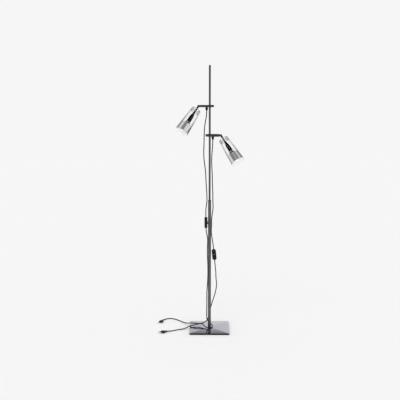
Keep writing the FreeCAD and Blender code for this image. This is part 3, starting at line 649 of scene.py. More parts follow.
def metal(name, colour, rough, stretch, contrast=1.2, drift=0.30, edge_tint=(1.0, 1.0, 1.0),
          frame_of_pattern=OWN_FRAME):
    """Metal with drawn or turned lines in its tone and relief, and handling marks in its gloss."""
    material, tree, shader, vector = start_material(name, frame_of_pattern)
    shader.inputs["Metallic"].default_value = 1.0
    shader.inputs["Specular Tint"].default_value = (*edge_tint, 1.0)
    lines = use_group(tree, "Drawn lines", {"Vector": vector, "Stretch": stretch, "Contrast": contrast})
    marks = use_group(tree, "Handling marks", {"Vector": vector})
    finish_surface(tree, shader, colour, lines["Tone"], drift, marks, rough, lines["Height"], 0.00001)
    return material


def moulded(name, colour, rough, cell_scale=900.0, bump=0.00002, sheen_level=0.5,
            frame_of_pattern=OWN_FRAME, drift=0.35):
    """Moulded plastic or rubber: fine grain, slow drift of tone, marks in the gloss."""
    material, tree, shader, vector = start_material(name, frame_of_pattern)
    shader.inputs["Specular IOR Level"].default_value = sheen_level
    grain = use_group(tree, "Moulded grain", {"Vector": vector, "Cell scale": cell_scale})
    marks = use_group(tree, "Handling marks", {"Vector": vector})
    finish_surface(tree, shader, colour, grain["Drift"], drift, marks, rough, grain["Height"], bump)
    return material


def polished_plate(name, colour):
    """Mirror-polished plate: nearly flat, with wiping marks that dull the gloss here and there."""
    material, tree, shader, vector = start_material(name, OWN_FRAME)
    shader.inputs["Metallic"].default_value = 1.0
    shader.inputs["Specular Tint"].default_value = (0.82, 0.815, 0.86, 1.0)
    marks = use_group(tree, "Handling marks", {"Vector": vector, "Patch scale": 16.0, "Speck scale": 500.0})
    lines = use_group(tree, "Drawn lines", {"Vector": vector, "Stretch": (9.0, 9.0, 9.0), "Contrast": 0.8})
    finish_surface(tree, shader, colour, lines["Tone"], 0.03, marks, (0.03, 0.07), lines["Height"], 0.00006)
    return material


def clear_glass(name, colour, rim):
    """Clear thick glass with painted shade where it is seen edge-on and over its collar, the faintest
    waviness and specks of dust.
    """
    material, tree, shader, vector = start_material(name, OWN_FRAME)
    shader.inputs["Transmission Weight"].default_value = 1.0
    shader.inputs["IOR"].default_value = 1.5
    shader.inputs["Specular Tint"].default_value = (0.15, 0.15, 0.152, 1.0)
    marks = use_group(tree, "Handling marks", {"Vector": vector, "Patch scale": 18.0, "Speck scale": 300.0})
    lines = use_group(tree, "Drawn lines", {"Vector": vector, "Stretch": (20.0, 20.0, 6.0)})
    dusty = blended_colour(tree, marks["Specks"], colour, scaled_colour(colour, 0.96))
    grazing = add_node(tree, "ShaderNodeLayerWeight", {"Blend": 0.5}).outputs["Facing"]
    station = add_node(tree, "ShaderNodeSeparateXYZ", {0: vector}).outputs["Z"]
    # Painted shade: darker over the thick collar and where the glass is seen edge-on
    thick = spread(tree, station, COLLAR_END * MM, COLLAR_FOOT * MM, COLLAR_PAINTED_SHADE, 0.0)
    painted_edge_shade = spread(tree, computed(tree, "ADD", grazing, thick), *GLASS_EDGE_SHADE_RANGE)
    tone = add_node(tree, "ShaderNodeMix", {"Factor": painted_edge_shade, 6: dusty, 7: (*rim, 1.0)}, data_type="RGBA")
    tree.links.new(tone.outputs[2], shader.inputs["Base Color"])
    tree.links.new(spread(tree, marks["Specks"], 0.0, 1.0, 0.0, 0.02), shader.inputs["Roughness"])
    add_bump(tree, shader, lines["Height"], 0.00008)
    return material


def frosted_glass(name, colour, glow):
    """Frosted white bulb glass with a slight glow and a fine etched grain."""
    material, tree, shader, vector = start_material(name, OWN_FRAME)
    grain = use_group(tree, "Moulded grain", {"Vector": vector, "Cell scale": 1500.0})
    tone = blended_colour(tree, grain["Drift"], scaled_colour(colour, 0.95), colour)
    tree.links.new(tone, shader.inputs["Base Color"])
    tree.links.new(tone, shader.inputs["Emission Color"])
    shader.inputs["Emission Strength"].default_value = glow
    shader.inputs["Roughness"].default_value = 0.38
    shader.inputs["Subsurface Weight"].default_value = 0.15
    shader.inputs["Subsurface Scale"].default_value = 0.004
    add_bump(tree, shader, grain["Height"], 0.00002)
    return material


def enamel(name, colour, frame_of_pattern):
    """Smooth white enamel of the band's inside and of the carrier."""
    return moulded(name, colour, (0.3, 0.45), 300.0, 0.00001, frame_of_pattern=frame_of_pattern, drift=0.02)


def dress_node(name, material):
    """Gives a carried-over part of the frame its finish."""
    for material_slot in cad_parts[name].material_slots:
        material_slot.material = material


# ---------------------------------------------------------------- stage

SKY_LIGHT = 0.86
KEY_LIGHT = 0.62
KEY_SPREAD = 40.0
KEY_TURN = (38.0, -22.0, 0.0)

# What polished metal and glass see: pale paper, with darker places in these directions
PALE = 0.93
DARK_WAYS = ((0.12, -0.63, 0.77), (-0.78, -0.34, 0.52), (-0.12, 0.63, 0.77), (0.78, 0.34, 0.52))
DARK_REACH = (0.78, 0.985)
DARK_GLOSS = 0.26
PALE_HEIGHT = 0.22
PALE_REACH = (0.30, 0.70)
DARK_THROUGH = 0.12


def settings():
    return bpy.context.scene.floor_lamp


def add_camera(stage):
    data = bpy.data.cameras.new("camera")
    data.lens = stage.lens
    data.sensor_width = 36.0
    camera = bpy.data.objects.new("camera", data)
    camera.location = (0.0, -stage.camera_distance, stage.camera_height)
    camera.rotation_euler = (math.radians(90) - stage.camera_pitch, 0.0, stage.camera_roll)
    bpy.context.scene.collection.objects.link(camera)
    bpy.context.scene.camera = camera


def mixed_level(tree, factor, first, second):
    """Mixes two numbers by a ray's kind."""
    return add_node(tree, "ShaderNodeMix", {0: factor, 2: first, 3: second}, data_type="FLOAT").outputs[0]


def make_world(background):
    """Plain paper for the camera; polished metal and glass see a pale band all round, and darker places."""
    world = bpy.data.worlds.new("studio")
    world.use_nodes = True
    bpy.context.scene.world = world
    tree = world.node_tree
    tree.nodes.clear()
    direction = tree.nodes.new("ShaderNodeTexCoord").outputs["Generated"]
    ray = tree.nodes.new("ShaderNodeLightPath").outputs
    height = add_node(tree, "ShaderNodeSeparateXYZ", {0: direction}).outputs["Z"]
    off_band = computed(tree, "ABSOLUTE", computed(tree, "SUBTRACT", height, PALE_HEIGHT))
    behind = spread(tree, off_band, *PALE_REACH, PALE, DARK_THROUGH)
    nearest = -1.0
    for way in DARK_WAYS:
        dot = add_node(tree, "ShaderNodeVectorMath", {0: direction, 1: way}, operation="DOT_PRODUCT")
        nearest = computed(tree, "MAXIMUM", dot.outputs["Value"], nearest)
    gloss = spread(tree, nearest, *DARK_REACH, PALE, DARK_GLOSS)
    level = mixed_level(tree, ray["Is Glossy Ray"], SKY_LIGHT, gloss)
    level = mixed_level(tree, ray["Is Transmission Ray"], level, behind)
    level = mixed_level(tree, ray["Is Camera Ray"], level, background[0])
    light = add_node(tree, "ShaderNodeBackground", {"Color": (1, 1, 1, 1), "Strength": level})
    output = tree.nodes.new("ShaderNodeOutputWorld")
    tree.links.new(light.outputs[0], output.inputs["Surface"])


def add_key_light():
    """One broad soft lamp from the upper left front."""
    data = bpy.data.lights.new("key", "SUN")
    data.energy = KEY_LIGHT
    data.angle = math.radians(KEY_SPREAD)
    lamp = bpy.data.objects.new("key", data)
    lamp.rotation_euler = [math.radians(turn) for turn in KEY_TURN]
    lamp.visible_glossy = False
    bpy.context.scene.collection.objects.link(lamp)


def add_floor(stage):
    """Plain paper floor: a flat square, so pale that it meets the background without an edge."""
    half = stage.floor_size / 2
    corners = [(-half, -half, 0.0), (half, -half, 0.0), (half, half, 0.0), (-half, half, 0.0)]
    mesh = bpy.data.meshes.new("paper_floor")
    mesh.from_pydata(corners, [], [(0, 1, 2, 3)])
    material, tree, shader, vector = start_material("Paper", WHOLE_FRAME)
    fibres = use_group(tree, "Handling marks", {"Vector": vector, "Patch scale": 60.0})
    tone = blended_colour(tree, fibres["Mask"], (0.919, 0.919, 0.919), (0.923, 0.923, 0.923))
    tree.links.new(tone, shader.inputs["Base Color"])
    shader.inputs["Roughness"].default_value = 1.0
    shader.inputs["Specular IOR Level"].default_value = 0.0
    mesh.materials.append(material)
    floor = bpy.data.objects.new("paper_floor", mesh)
    bpy.context.scene.collection.objects.link(floor)


class FLOORLAMP_OT_stage(bpy.types.Operator):
    """Camera, light, background and floor"""

    bl_idname = "floor_lamp.stage"
    bl_label = "Stage"

    def execute(self, context):
        stage = settings().stage
        context.scene.view_settings.view_transform = "Standard"
        add_camera(stage)
        make_world(stage.background)
        add_key_light()
        add_floor(stage)
        return {"FINISHED"}


# ---------------------------------------------------------------- leads

def route_curve(name, route, radius):
    """Curve along a route: a NURBS spline with the route's points as its control points."""
    data = bpy.data.curves.new(name, "CURVE")
    data.dimensions = "3D"
    data.resolution_u = 10
    data.bevel_depth = radius
    data.bevel_resolution = 6
    data.use_fill_caps = True
    spline = data.splines.new("NURBS")
    spline.points.add(len(route) - 1)
    for point, place in zip(spline.points, route):
        point.co = (*place, 1.0)
    spline.order_u = 3
    spline.use_endpoint_u = True
    curve = bpy.data.objects.new(name, data)
    bpy.context.scene.collection.objects.link(curve)
    return curve


def route_line(name, route):
    """Points along the route's own smooth curve."""
    curve = route_curve(name, route, 0.0)
    mesh = bpy.data.meshes.new_from_object(curve)
    line = np.empty(len(mesh.vertices) * 3, np.float32)
    mesh.vertices.foreach_get("co", line)
    bpy.data.objects.remove(curve)
    bpy.data.meshes.remove(mesh)
    return line.reshape(-1, 3).astype(float)


def line_length(line):
    """Sum of the distances between neighbouring points."""
    return float(np.linalg.norm(np.diff(line, axis=0), axis=1).sum())


def lead_tube(name, line, radius, material, node):
    """Round tube of the lead along a piece of its line; its grain follows the whole lamp's frame."""
    rings = swept(line, radius, TUBE_SIDES, (0, 1, 0))
    mesh = bpy.data.meshes.new(name)
    mesh.from_pydata(shell_points(rings, False).tolist(), [], shell_faces(rings, False))
    return finish_piece(name, mesh, None, [material], [node])


class FLOORLAMP_OT_leads(bpy.types.Operator):
    """Both leads: from the grip to the switch and from there to the plug"""

    bl_idname = "floor_lamp.leads"
    bl_label = "Leads"

    def execute(self, context):
        choice = settings().leads
        radius = choice.diameter / 2
        jacket = moulded("Lead jacket", choice.jacket, (0.42, 0.60), 1400.0, 0.00001,
                         frame_of_pattern=WHOLE_FRAME)
        for prefix, lead in LEADS.items():
            hanging = prefix + "_cord_hanging"
            line = route_line(prefix + "_line", lead["hanging"])
            split = int(np.searchsorted(line[0, 2] - line[:, 2], HANGING_SPLIT))
            upper_line = line[:split + 1]
            lower_line = line[split:]
            upper = lead_tube(prefix + "_lead_at_grip", upper_line, radius, jacket, hanging)
            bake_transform(upper)
            lower = lead_tube(prefix + "_lead_to_switch", lower_line, radius, jacket, hanging)
            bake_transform(lower)
            floor = route_curve(prefix + "_lead_to_plug", lead["floor"], radius)
            floor.data.materials.append(jacket)
            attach(floor, "root")
            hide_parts(prefix + "_cord_floor")
        return {"FINISHED"}


def declare_floor_lead(prefix):
    """Measures the floor lead along its route; nothing uses the length."""
    route = LEADS[prefix]["floor"]
    length = line_length(route_line(prefix + "_measure", route))


# ---------------------------------------------------------------- base and pole

class FLOORLAMP_OT_base(bpy.types.Operator):
    """Square plate with its polished top"""

    bl_idname = "floor_lamp.base"
    bl_label = "Base plate"

    def execute(self, context):
        base = settings().base
        low, high = (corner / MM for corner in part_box("base_plate"))
        bevel = base.bevel / MM
        steps = np.linspace(0.0, math.pi / 2, 4)
        inset = bevel * (1 - np.sin(steps))
        rise = bevel * (1 - np.cos(steps))
        insets = np.concatenate([inset, inset[::-1]])
        heights = np.concatenate([low.z + rise, high.z - rise[::-1]])
        half = (high.x - low.x) / 2
        square = np.array([(1, -1), (1, 1), (-1, 1), (-1, -1)], float)
        outlines = [eased(square * (half - i), PLATE_CORNER) for i in insets]
        top = polished_plate("Polished top", base.polish)
        # Painted shade: every face off the flat top, sides and eased top edge alike, takes a near-black
        # colour
        edge = moulded("Plate edge painted shade", base.edge, (0.5, 0.62), 500.0, 0.00001, sheen_level=0.12)
        plate = make_piece("base_plate_form", [(stacked(outlines, heights), False)], IN_PLACE, "root",
                           [top, edge], ["base_plate"], sharp=50.0)
        normals = np.empty(len(plate.data.polygons) * 3, np.float32)
        plate.data.polygons.foreach_get("normal", normals)
        edge_shade_faces = (normals.reshape(-1, 3)[:, 2] < 0.9).astype(np.int32)
        plate.data.polygons.foreach_set("material_index", edge_shade_faces)
        pad = moulded("Soft pad", (0.004, 0.004, 0.004), (0.75, 0.9), 350.0, 0.0001,
                      frame_of_pattern=WHOLE_FRAME)
        dress_node("base_pad", pad)
        zinc = metal("Zinc-plated steel", (0.42, 0.42, 0.40), (0.3, 0.45), (300.0, 300.0, 300.0),
                     frame_of_pattern=WHOLE_FRAME)
        for node in ("pole_bolt", "bolt_washer", "foot_plug"):
            dress_node(node, zinc)
        for prefix in LAMPS:
            dress_node(prefix + "_terminal_block", zinc)
            dress_node(prefix + "_elbow_nut", zinc)
        return {"FINISHED"}


def ferrule_outline(tube_r, tube_top, rod_r, start, end):
    """Shoulder: a plug inside the tube, a rim on its end, and a rounded slope in to the rod."""
    bore = rod_r + 0.03
    plug_r = tube_r - TUBE_WALL - 0.03
    return eased([(bore, start), (plug_r, start), (plug_r, tube_top), (tube_r, tube_top),
                  (tube_r, tube_top + 2.4), (tube_r - 0.5, end - 1.4), (rod_r + 1.3, end), (bore, end)],
                 [0.1, 0.1, 0.1, 0.3, 1.2, 1.6, 0.5, 0.1], 5)


def cap_outline(rod_r, rod_top, end):
    """Cap: a plug 12 mm into the rod, a narrow groove over the rod's end, and a rounded top."""
    plug_r = rod_r - 1.5
    groove_r = rod_r - 0.45
    groove_top = rod_top + 0.7
    return eased([(plug_r, rod_top - 12.0), (plug_r, rod_top), (groove_r, rod_top), (groove_r, groove_top),
                  (rod_r, groove_top), (rod_r, end - 1.9), (rod_r - 1.9, end)],
                 [0.2, 0.1, 0.1, 0.1, 0.2, 1.0, 1.2], 5, on_axis=True)


class FLOORLAMP_OT_pole(bpy.types.Operator):
    """Tube, ferrule, rod and cap"""

    bl_idname = "floor_lamp.pole"
    bl_label = "Pole"

    def execute(self, context):
        pole = settings().pole
        tube_low, tube_high = (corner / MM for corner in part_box("lower_tube"))
        rod_low, rod_high = (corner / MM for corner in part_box("upper_rod"))
        ferrule_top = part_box("tube_ferrule")[1].z / MM
        cap_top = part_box("top_cap")[1].z / MM
        tube_r, rod_r = tube_high.x, rod_high.x
        tube_steel = metal("Drawn tube", pole.tube, (0.26, 0.34), DRAWN_ALONG, 2.2, 0.30)
        rod_steel = metal("Drawn rod", pole.rod, (0.26, 0.36), DRAWN_ALONG, 2.6, 0.40)
        ferrule_steel = metal("Turned ferrule", pole.ferrule, (0.22, 0.32), TURNED_ROUND, 1.6, 0.3)
        tube = tube_outline(tube_r - TUBE_WALL, tube_r, tube_low.z, tube_high.z - END_GAP)
        rod = tube_outline(rod_r - ROD_WALL, rod_r, rod_low.z, rod_high.z - END_GAP)
        ferrule = ferrule_outline(tube_r, tube_high.z, rod_r, rod_low.z, ferrule_top)
        cap = cap_outline(rod_r, rod_high.z, cap_top)
        for node, outline, closed, steel in (
            ("lower_tube", eased(tube, 0.3, 5), True, tube_steel),
            ("upper_rod", eased(rod, 0.3, 5), True, rod_steel),
            ("tube_ferrule", ferrule, True, ferrule_steel),
            ("top_cap", cap, False, ferrule_steel),
        ):
            turned_piece(node, outline, pole.sides, closed, IN_PLACE, "root", steel)
        return {"FINISHED"}


# ---------------------------------------------------------------- brackets

def cover_outline():
    """Disc's top plate, from the parting up."""
    plate = tube_outline(HOLE_R, DISC_R, PARTING + PARTING_GAP, DISC_HALF)
    return eased(plate, [0.1, 0.15, 0.9, 0.25], 5)


def pan_outline():
    """Disc's pan: floor and rim, up to the parting."""
    rim_top = PARTING - PARTING_GAP
    floor_top = -DISC_HALF + PAN_WALL
    inner_r = DISC_R - PAN_WALL
    return eased([(HOLE_R, -DISC_HALF), (DISC_R, -DISC_HALF), (DISC_R, rim_top), (inner_r, rim_top),
                  (inner_r, floor_top), (HOLE_R, floor_top)], [0.25, 1.1, 0.2, 0.2, 0.6, 0.1], 5)


def grip_outline():
    """Relief: full over its upper half, rounded in to the tip, and 0.4 mm less between the ribs' crests."""
    share = np.linspace(0.0, 1.0, GRIP_RIBS * 12 + 1)
    taper = GRIP_TIP_R + (GRIP_R - GRIP_TIP_R) * np.sin(np.pi / 2 * np.clip(share / 0.55, 0.0, 1.0))
    groove = 0.2 * (1 - np.cos(2 * np.pi * GRIP_RIBS * share))
    hem = np.clip((1.0 - share) * 8.0, 0.0, 1.0)
    return np.stack([taper - groove * hem, GRIP_TOP - GRIP_LENGTH * (1 - share)], axis=1)


def screw_head_outline():
    """Domed head that stands a little out of the pan's underside."""
    face = -DISC_HALF
    return eased([(1.0, face + 0.4), (1.1, face - 0.2), (2.2, face - 0.4), (3.0, face + 0.1),
                  (3.0, face + 0.6)], [0.1, 0.2, 0.5, 0.3, 0.1], 3, on_axis=True)


def cover_screws():
    """Screw heads on their circle round the disc's own middle."""
    screw = turned(screw_head_outline(), 24)
    turns = np.radians(SCREW_TURNS)
    middles = zip(DISC_OFFSET + SCREW_CIRCLE_R * np.cos(turns), SCREW_CIRCLE_R * np.sin(turns))
    return [(screw + (x, y, 0), False) for x, y in middles]


class FLOORLAMP_OT_brackets(bpy.types.Operator):
    """Round brackets with their bushes, screws and cord grips"""

    bl_idname = "floor_lamp.brackets"
    bl_label = "Brackets"

    def execute(self, context):
        spots = settings().spots
        # Painted shade: the cover's steel is set far darker than the pan's
        shaded_cover_steel = metal("Bracket cover with painted shade", spots.cover, (0.36, 0.48), (120.0, 120.0, 120.0), 1.0, 0.25,
                            edge_tint=(0.16, 0.16, 0.165))
        pan_steel = metal("Bracket pan", spots.pan, (0.34, 0.46), (60.0, 60.0, 1500.0), 1.2, 0.22)
        nylon = moulded("Nylon bush", (0.35, 0.34, 0.31), (0.35, 0.5))
        rubber = moulded("Black rubber", (0.004, 0.004, 0.004), (0.5, 0.7), 700.0, 0.00004,
                         sheen_level=0.14)
        zinc = metal("Screw steel", (0.36, 0.36, 0.35), (0.28, 0.42), (20.0, 20.0, 1500.0))
        cover = off_centre(cover_outline(), spots.sides, HOLE_R, DISC_R - 1, DISC_OFFSET)
        pan = off_centre(pan_outline(), spots.sides, HOLE_R, DISC_R - PAN_WALL - 1, DISC_OFFSET)
        bush = eased(tube_outline(BUSH_BORE_R, BUSH_R, -DISC_HALF, DISC_HALF), 0.4)
        under_disc = Matrix.Translation((DISC_OFFSET, 0, 0))
        for prefix in LAMPS:
            place = bracket_place(prefix)
            body = prefix + "_bracket"
            make_piece(prefix + "_disc_cover_form", [(cover, True)], place, body,
                       [shaded_cover_steel], [prefix + "_disc_cover"])
            make_piece(prefix + "_disc_shell_form", [(pan, True)], place, body,
                       [pan_steel], [prefix + "_disc_shell"])
            turned_piece(prefix + "_slide_bush", bush, 64, True, place, prefix + "_bush", nylon)
            turned_piece(prefix + "_cord_grip", grip_outline(), 48, False, place @ under_disc, body,
                         rubber, 60.0)
            make_piece(prefix + "_cover_screws_form", cover_screws(), place, body, [zinc],
                       [prefix + "_cover_screws"])
        return {"FINISHED"}


# ---------------------------------------------------------------- stems and holders

def knuckle_outline():
    """Elbow's drum, along its turning axis: a groove near the disc and a rounded outer end."""
    return eased([(4.0, 62.9), (KNUCKLE_R, 62.9), (KNUCKLE_R, 64.2), (6.0, 64.4), (6.0, 64.8),
                  (KNUCKLE_R, 65.0), (KNUCKLE_R, 73.4)],
                 [0.1, 0.25, 0.1, 0.1, 0.1, 0.1, 2.2], 6, on_axis=True)


def stem_root_outline():
    """Start of the stem on the drum, with a low bead where the tube goes in."""
    return eased([(3.9, 0.0), (5.9, 0.5), (5.9, 13.0), (6.15, 13.2), (6.15, 14.6), (5.6, 14.9),
                  (4.0, 15.5)], [0.1, 0.3, 0.1, 0.2, 0.2, 0.1, 0.1], 4, on_axis=True)


class FLOORLAMP_OT_stems(bpy.types.Operator):
    """Elbows and stems"""

    bl_idname = "floor_lamp.stems"
    bl_label = "Stems"

    def execute(self, context):
        spots = settings().spots
        stem_steel = metal("Stem steel", spots.stem, (0.30, 0.42), DRAWN_ALONG, 1.8, 0.3)
        elbow_steel = metal("Elbow steel", scaled_colour(spots.stem, 0.6), (0.26, 0.36), TURNED_ROUND,
                            1.6, 0.3)
        drum = turned(knuckle_outline(), 64)
        root = turned(stem_root_outline(), 64)
        stem = eased(tube_outline(STEM_BORE_R, STEM_R, STEM_START, STEM_END), 0.25)
        for prefix in LAMPS:
            body = prefix + "_head"
            elbow = [prefix + "_stem_elbow"]
            make_piece(prefix + "_stem_elbow_drum", [(drum, False)], knuckle_place(prefix), body,
                       [elbow_steel], elbow)
            make_piece(prefix + "_stem_elbow_root", [(root, False)], stem_place(prefix), body,
                       [elbow_steel], elbow)
            turned_piece(prefix + "_stem_tube", stem, 64, True, stem_place(prefix), body,
                         stem_steel)
        return {"FINISHED"}


def holder_cap_outline():
    """Conical cap: a short neck on the stem, a slope out to the body, and a hollow underside."""
    return eased([(SLEEVE_BORE_R, CAP_START), (6.5, CAP_START), (6.7, 58.0), (8.6, 67.0), (11.3, 77.5),
                  (HOLDER_START_R, 81.0), (HOLDER_START_R, CAP_END), (10.7, CAP_END), (10.7, 79.2),
                  (9.5, 79.2), (SLEEVE_BORE_R, 70.0)],
                 [0.2, 0.5, 3.0, 3.0, 3.0, 1.6, 0.25, 0.1, 0.3, 0.3, 0.2], 5)


def holder_body_outline():
    """Holder body: radius grows from end to end, less 0.35 mm in each turned groove of a 4 mm pitch."""
    start, end = HOLDER_START, HOLDER_END
    station = np.linspace(start, end, 121)
    radius = HOLDER_START_R + (HOLDER_END_R - HOLDER_START_R) * (station - start) / (end - start)
    ribbed = (station > start + 4) & (station < end - 6)
    groove = 0.35 * (0.5 - 0.5 * np.cos(2 * np.pi * (station - start) / 4.0)) ** 3
    outer = np.stack([radius - groove * ribbed, station], axis=1)
    bore = [(11.9, end + 0.1), (11.9, RING_END), (10.05, RING_END), (10.05, start + 6), (9.0, start + 6),
            (9.0, start + 0.5), (10.5, start)]
    return np.concatenate([outer, np.array(bore)])


class FLOORLAMP_OT_holders(bpy.types.Operator):
    """Black lampholders with their caps, rings and inserts"""

    bl_idname = "floor_lamp.holders"
    bl_label = "Holders"

    def execute(self, context):
        spots = settings().spots
        bakelite = moulded("Black holder", spots.holder, (0.48, 0.62), 1100.0, 0.00001, sheen_level=0.12)
        ceramic = moulded("Ceramic insert", (0.72, 0.70, 0.66), (0.3, 0.5), frame_of_pattern=WHOLE_FRAME)
        ring = eased(tube_outline(RING_BORE_R, RING_R, RING_START, RING_END), [0.2, 0.6, 0.8, 0.2], 4)
        knurled = turned(ring, 240, 40, 0.35)
        sleeve = tube_outline(SLEEVE_BORE_R, SLEEVE_R, SLEEVE_START, SLEEVE_END)
        sleeve = turned(eased(sleeve, [0.1, 0.4, 0.2, 0.1]), 64)
        for prefix in LAMPS:
            place = stem_place(prefix)
            body = prefix + "_head"
            turned_piece(prefix + "_holder_cap", holder_cap_outline(), 96, True, place, body,
                         bakelite)
            turned_piece(prefix + "_holder_body", holder_body_outline(), 96, True, place, body,
                         bakelite, 40.0)
            make_piece(prefix + "_holder_ring_form", [(knurled, True)], place, body,
                       [bakelite], [prefix + "_holder_ring"], sharp=50.0)
            make_piece(prefix + "_stem_sleeve", [(sleeve, True)], place, body, [bakelite])
            dress_node(prefix + "_holder_insert", ceramic)
        return {"FINISHED"}


def bulb_outline():
    """Reflector bulb: neck, a cone that swells with a soft S, and a ball-shaped face."""
    neck = np.array([(BULB_NECK_R, 130.0), (BULB_NECK_R, 134.0)])
    share = np.linspace(0.0, 1.0, 25)[1:-1]
    swell = 3 * share ** 2 - 2 * share ** 3
    radius = BULB_NECK_R + (BULB_R - BULB_NECK_R) * (0.35 * swell + 0.65 * share)
    cone = np.stack([radius, BULB_CONE_START + (BULB_SHOULDER - BULB_CONE_START) * share], axis=1)
    rise = BULB_END - BULB_SHOULDER
    ball_r = (BULB_R ** 2 + rise ** 2) / (2 * rise)
    angle = np.linspace(math.asin(BULB_R / ball_r), 0.02, 22)
    face = np.stack([ball_r * np.sin(angle), BULB_END - ball_r + ball_r * np.cos(angle)], axis=1)
    return np.concatenate([neck, cone, face])


class FLOORLAMP_OT_bulbs(bpy.types.Operator):
    """Reflector bulbs"""

    bl_idname = "floor_lamp.bulbs"
    bl_label = "Bulbs"

    def execute(self, context):
        frosted = frosted_glass("Frosted bulb", settings().spots.bulb, 0.12)
        nickel = metal("Bulb base", (0.62, 0.61, 0.58), (0.24, 0.36), (20.0, 20.0, 900.0),
                       frame_of_pattern=WHOLE_FRAME)
        for prefix in LAMPS:
            turned_piece(prefix + "_bulb_glass", bulb_outline(), 96, False, stem_place(prefix),
                         prefix + "_head", frosted, 60.0)
            dress_node(prefix + "_bulb_base", nickel)
        return {"FINISHED"}


# ---------------------------------------------------------------- shades

def shade_radius(station):
    """Outer radius of the cone at a station along the stem."""
    share = (station - SHADE_START) / (SHADE_END - SHADE_START)
    return SHADE_START_R + share * (SHADE_END_R - SHADE_START_R)


def glass_outline():
    """Cone with a thick collar at its narrow end, and a step at its wide end that sits in the band."""
    step_r = shade_radius(BAND_START)
    end_r = shade_radius(GLASS_END)
    return eased([(COLLAR_R, SHADE_START), (SHADE_START_R, SHADE_START), (step_r, BAND_START),
                  (step_r - BAND_WALL, BAND_START), (end_r - BAND_WALL, GLASS_END),
                  (end_r - GLASS_WALL, GLASS_END), (shade_radius(COLLAR_FOOT) - GLASS_WALL, COLLAR_FOOT),
                  (COLLAR_R, COLLAR_END)], [1.6, 1.8, 0.1, 0.1, 0.3, 0.5, 3.0, 1.6], 6)


def band_outline():
    """Band: top edge, a shallow groove under it, the cone's side, a rolled rim, and the inside back up."""
    top_r = shade_radius(BAND_START)
    top = BAND_START + 0.04
    rim_r = SHADE_END_R + 0.45
    return eased([(top_r - BAND_WALL + 0.02, top), (top_r + 0.1, top), (shade_radius(146.5) + 0.1, 146.5),
                  (shade_radius(147.0) - 0.15, 147.0), (shade_radius(147.6) - 0.15, 147.6),
                  (shade_radius(148.1) + 0.05, 148.1), (shade_radius(196.5), 196.5), (rim_r, 197.6),
                  (rim_r, SHADE_END), (SHADE_END_R - BAND_WALL, SHADE_END),
                  (shade_radius(BAND_START + 4.2) - BAND_WALL, 148.2)],
                 [0.1, 0.3, 0.2, 0.1, 0.1, 0.2, 0.4, 0.5, 0.5, 0.4, 0.1], BAND_STEPS)


class FLOORLAMP_OT_shades(bpy.types.Operator):
    """Clear cones with their metal bands and carriers"""

    bl_idname = "floor_lamp.shades"
    bl_label = "Shades"

    def execute(self, context):
        spots = settings().spots
        glass = clear_glass("Clear glass", spots.glass, spots.glass_edge_shade)
        lining = enamel("White enamel", spots.lining, OWN_FRAME)
        # Painted light: the band's white inside glows, though it is no lamp
        lining_painted_glow_shader = lining.node_tree.nodes["Principled BSDF"]
        lining_painted_glow_shader.inputs["Emission Color"].default_value = (1.0, 1.0, 1.0, 1.0)
        lining_painted_glow_shader.inputs["Emission Strength"].default_value = LINING_PAINTED_GLOW
        band_metal = metal("Polished band", spots.band, (0.10, 0.16), (18.0, 18.0, 1600.0), 0.8, 0.06,
                           edge_tint=(0.24, 0.24, 0.245))
        carrier_paint = enamel("Carrier enamel", spots.lining, WHOLE_FRAME)
        band = band_outline()
        lined = np.arange(len(band)) >= (BAND_STEPS + 1) * LINING_FROM
        material_rows = np.repeat(lined, spots.sides).astype(np.int32)
        for prefix in LAMPS:
            place = stem_place(prefix)
            body = prefix + "_head"
            turned_piece(prefix + "_shade_glass", glass_outline(), spots.sides, True, place, body,
                         glass, 40.0)
            form = make_piece(prefix + "_shade_band_form", [(turned(band, spots.sides), True)], place, body,
                              [band_metal, lining], [prefix + "_shade_band"], sharp=50.0)
            form.data.polygons.foreach_set("material_index", material_rows)
            dress_node(prefix + "_shade_carrier", carrier_paint)
        return {"FINISHED"}


# ---------------------------------------------------------------- switches and plugs

def switch_outline(inset):
    """Switch's outer outline, drawn in all round by the inset."""
    return octagon(SWITCH_WIDTH / 2 - inset, SWITCH_LENGTH / 2 - inset, SWITCH_CORNER - 0.6 * inset, 2.4)


def window_outline(grow):
    """Outline of the rocker's window, let out all round."""
    return octagon(WINDOW_HALF_WIDTH + grow, WINDOW_HALF_LENGTH + grow, 1.0, 0.4)


def switch_base_rings():
    """Base: rounded back edge, side, a step at the parting, and its hollow inside."""
    insets = [inset for inset, rise in EDGE_ROUND] + [0.0, PARTING_STEP, SWITCH_WALL, SWITCH_WALL]
    heights = [rise for inset, rise in EDGE_ROUND]
    heights += [SWITCH_PARTING - 0.35, SWITCH_PARTING - 0.1, SWITCH_PARTING - 0.1, SWITCH_WALL]
    return stacked([switch_outline(inset) for inset in insets], heights)


def switch_cover_rings():
    """Cover: a step at the parting, side, rounded front edge, the rocker's window, and the inside."""
    inside = SWITCH_THICKNESS - SWITCH_WALL
    insets = [PARTING_STEP, 0.0] + [inset for inset, rise in reversed(EDGE_ROUND)]
    outlines = [switch_outline(inset) for inset in insets]
    outlines += [window_outline(0.5), window_outline(0.1), window_outline(0.0)]
    outlines += [switch_outline(SWITCH_WALL), switch_outline(SWITCH_WALL)]
    heights = [SWITCH_PARTING + 0.1, SWITCH_PARTING + 0.35]
    heights += [SWITCH_THICKNESS - rise for inset, rise in reversed(EDGE_ROUND)]
    heights += [SWITCH_THICKNESS, SWITCH_THICKNESS - 0.3, inside, inside, SWITCH_PARTING + 0.1]
    return stacked(outlines, heights)


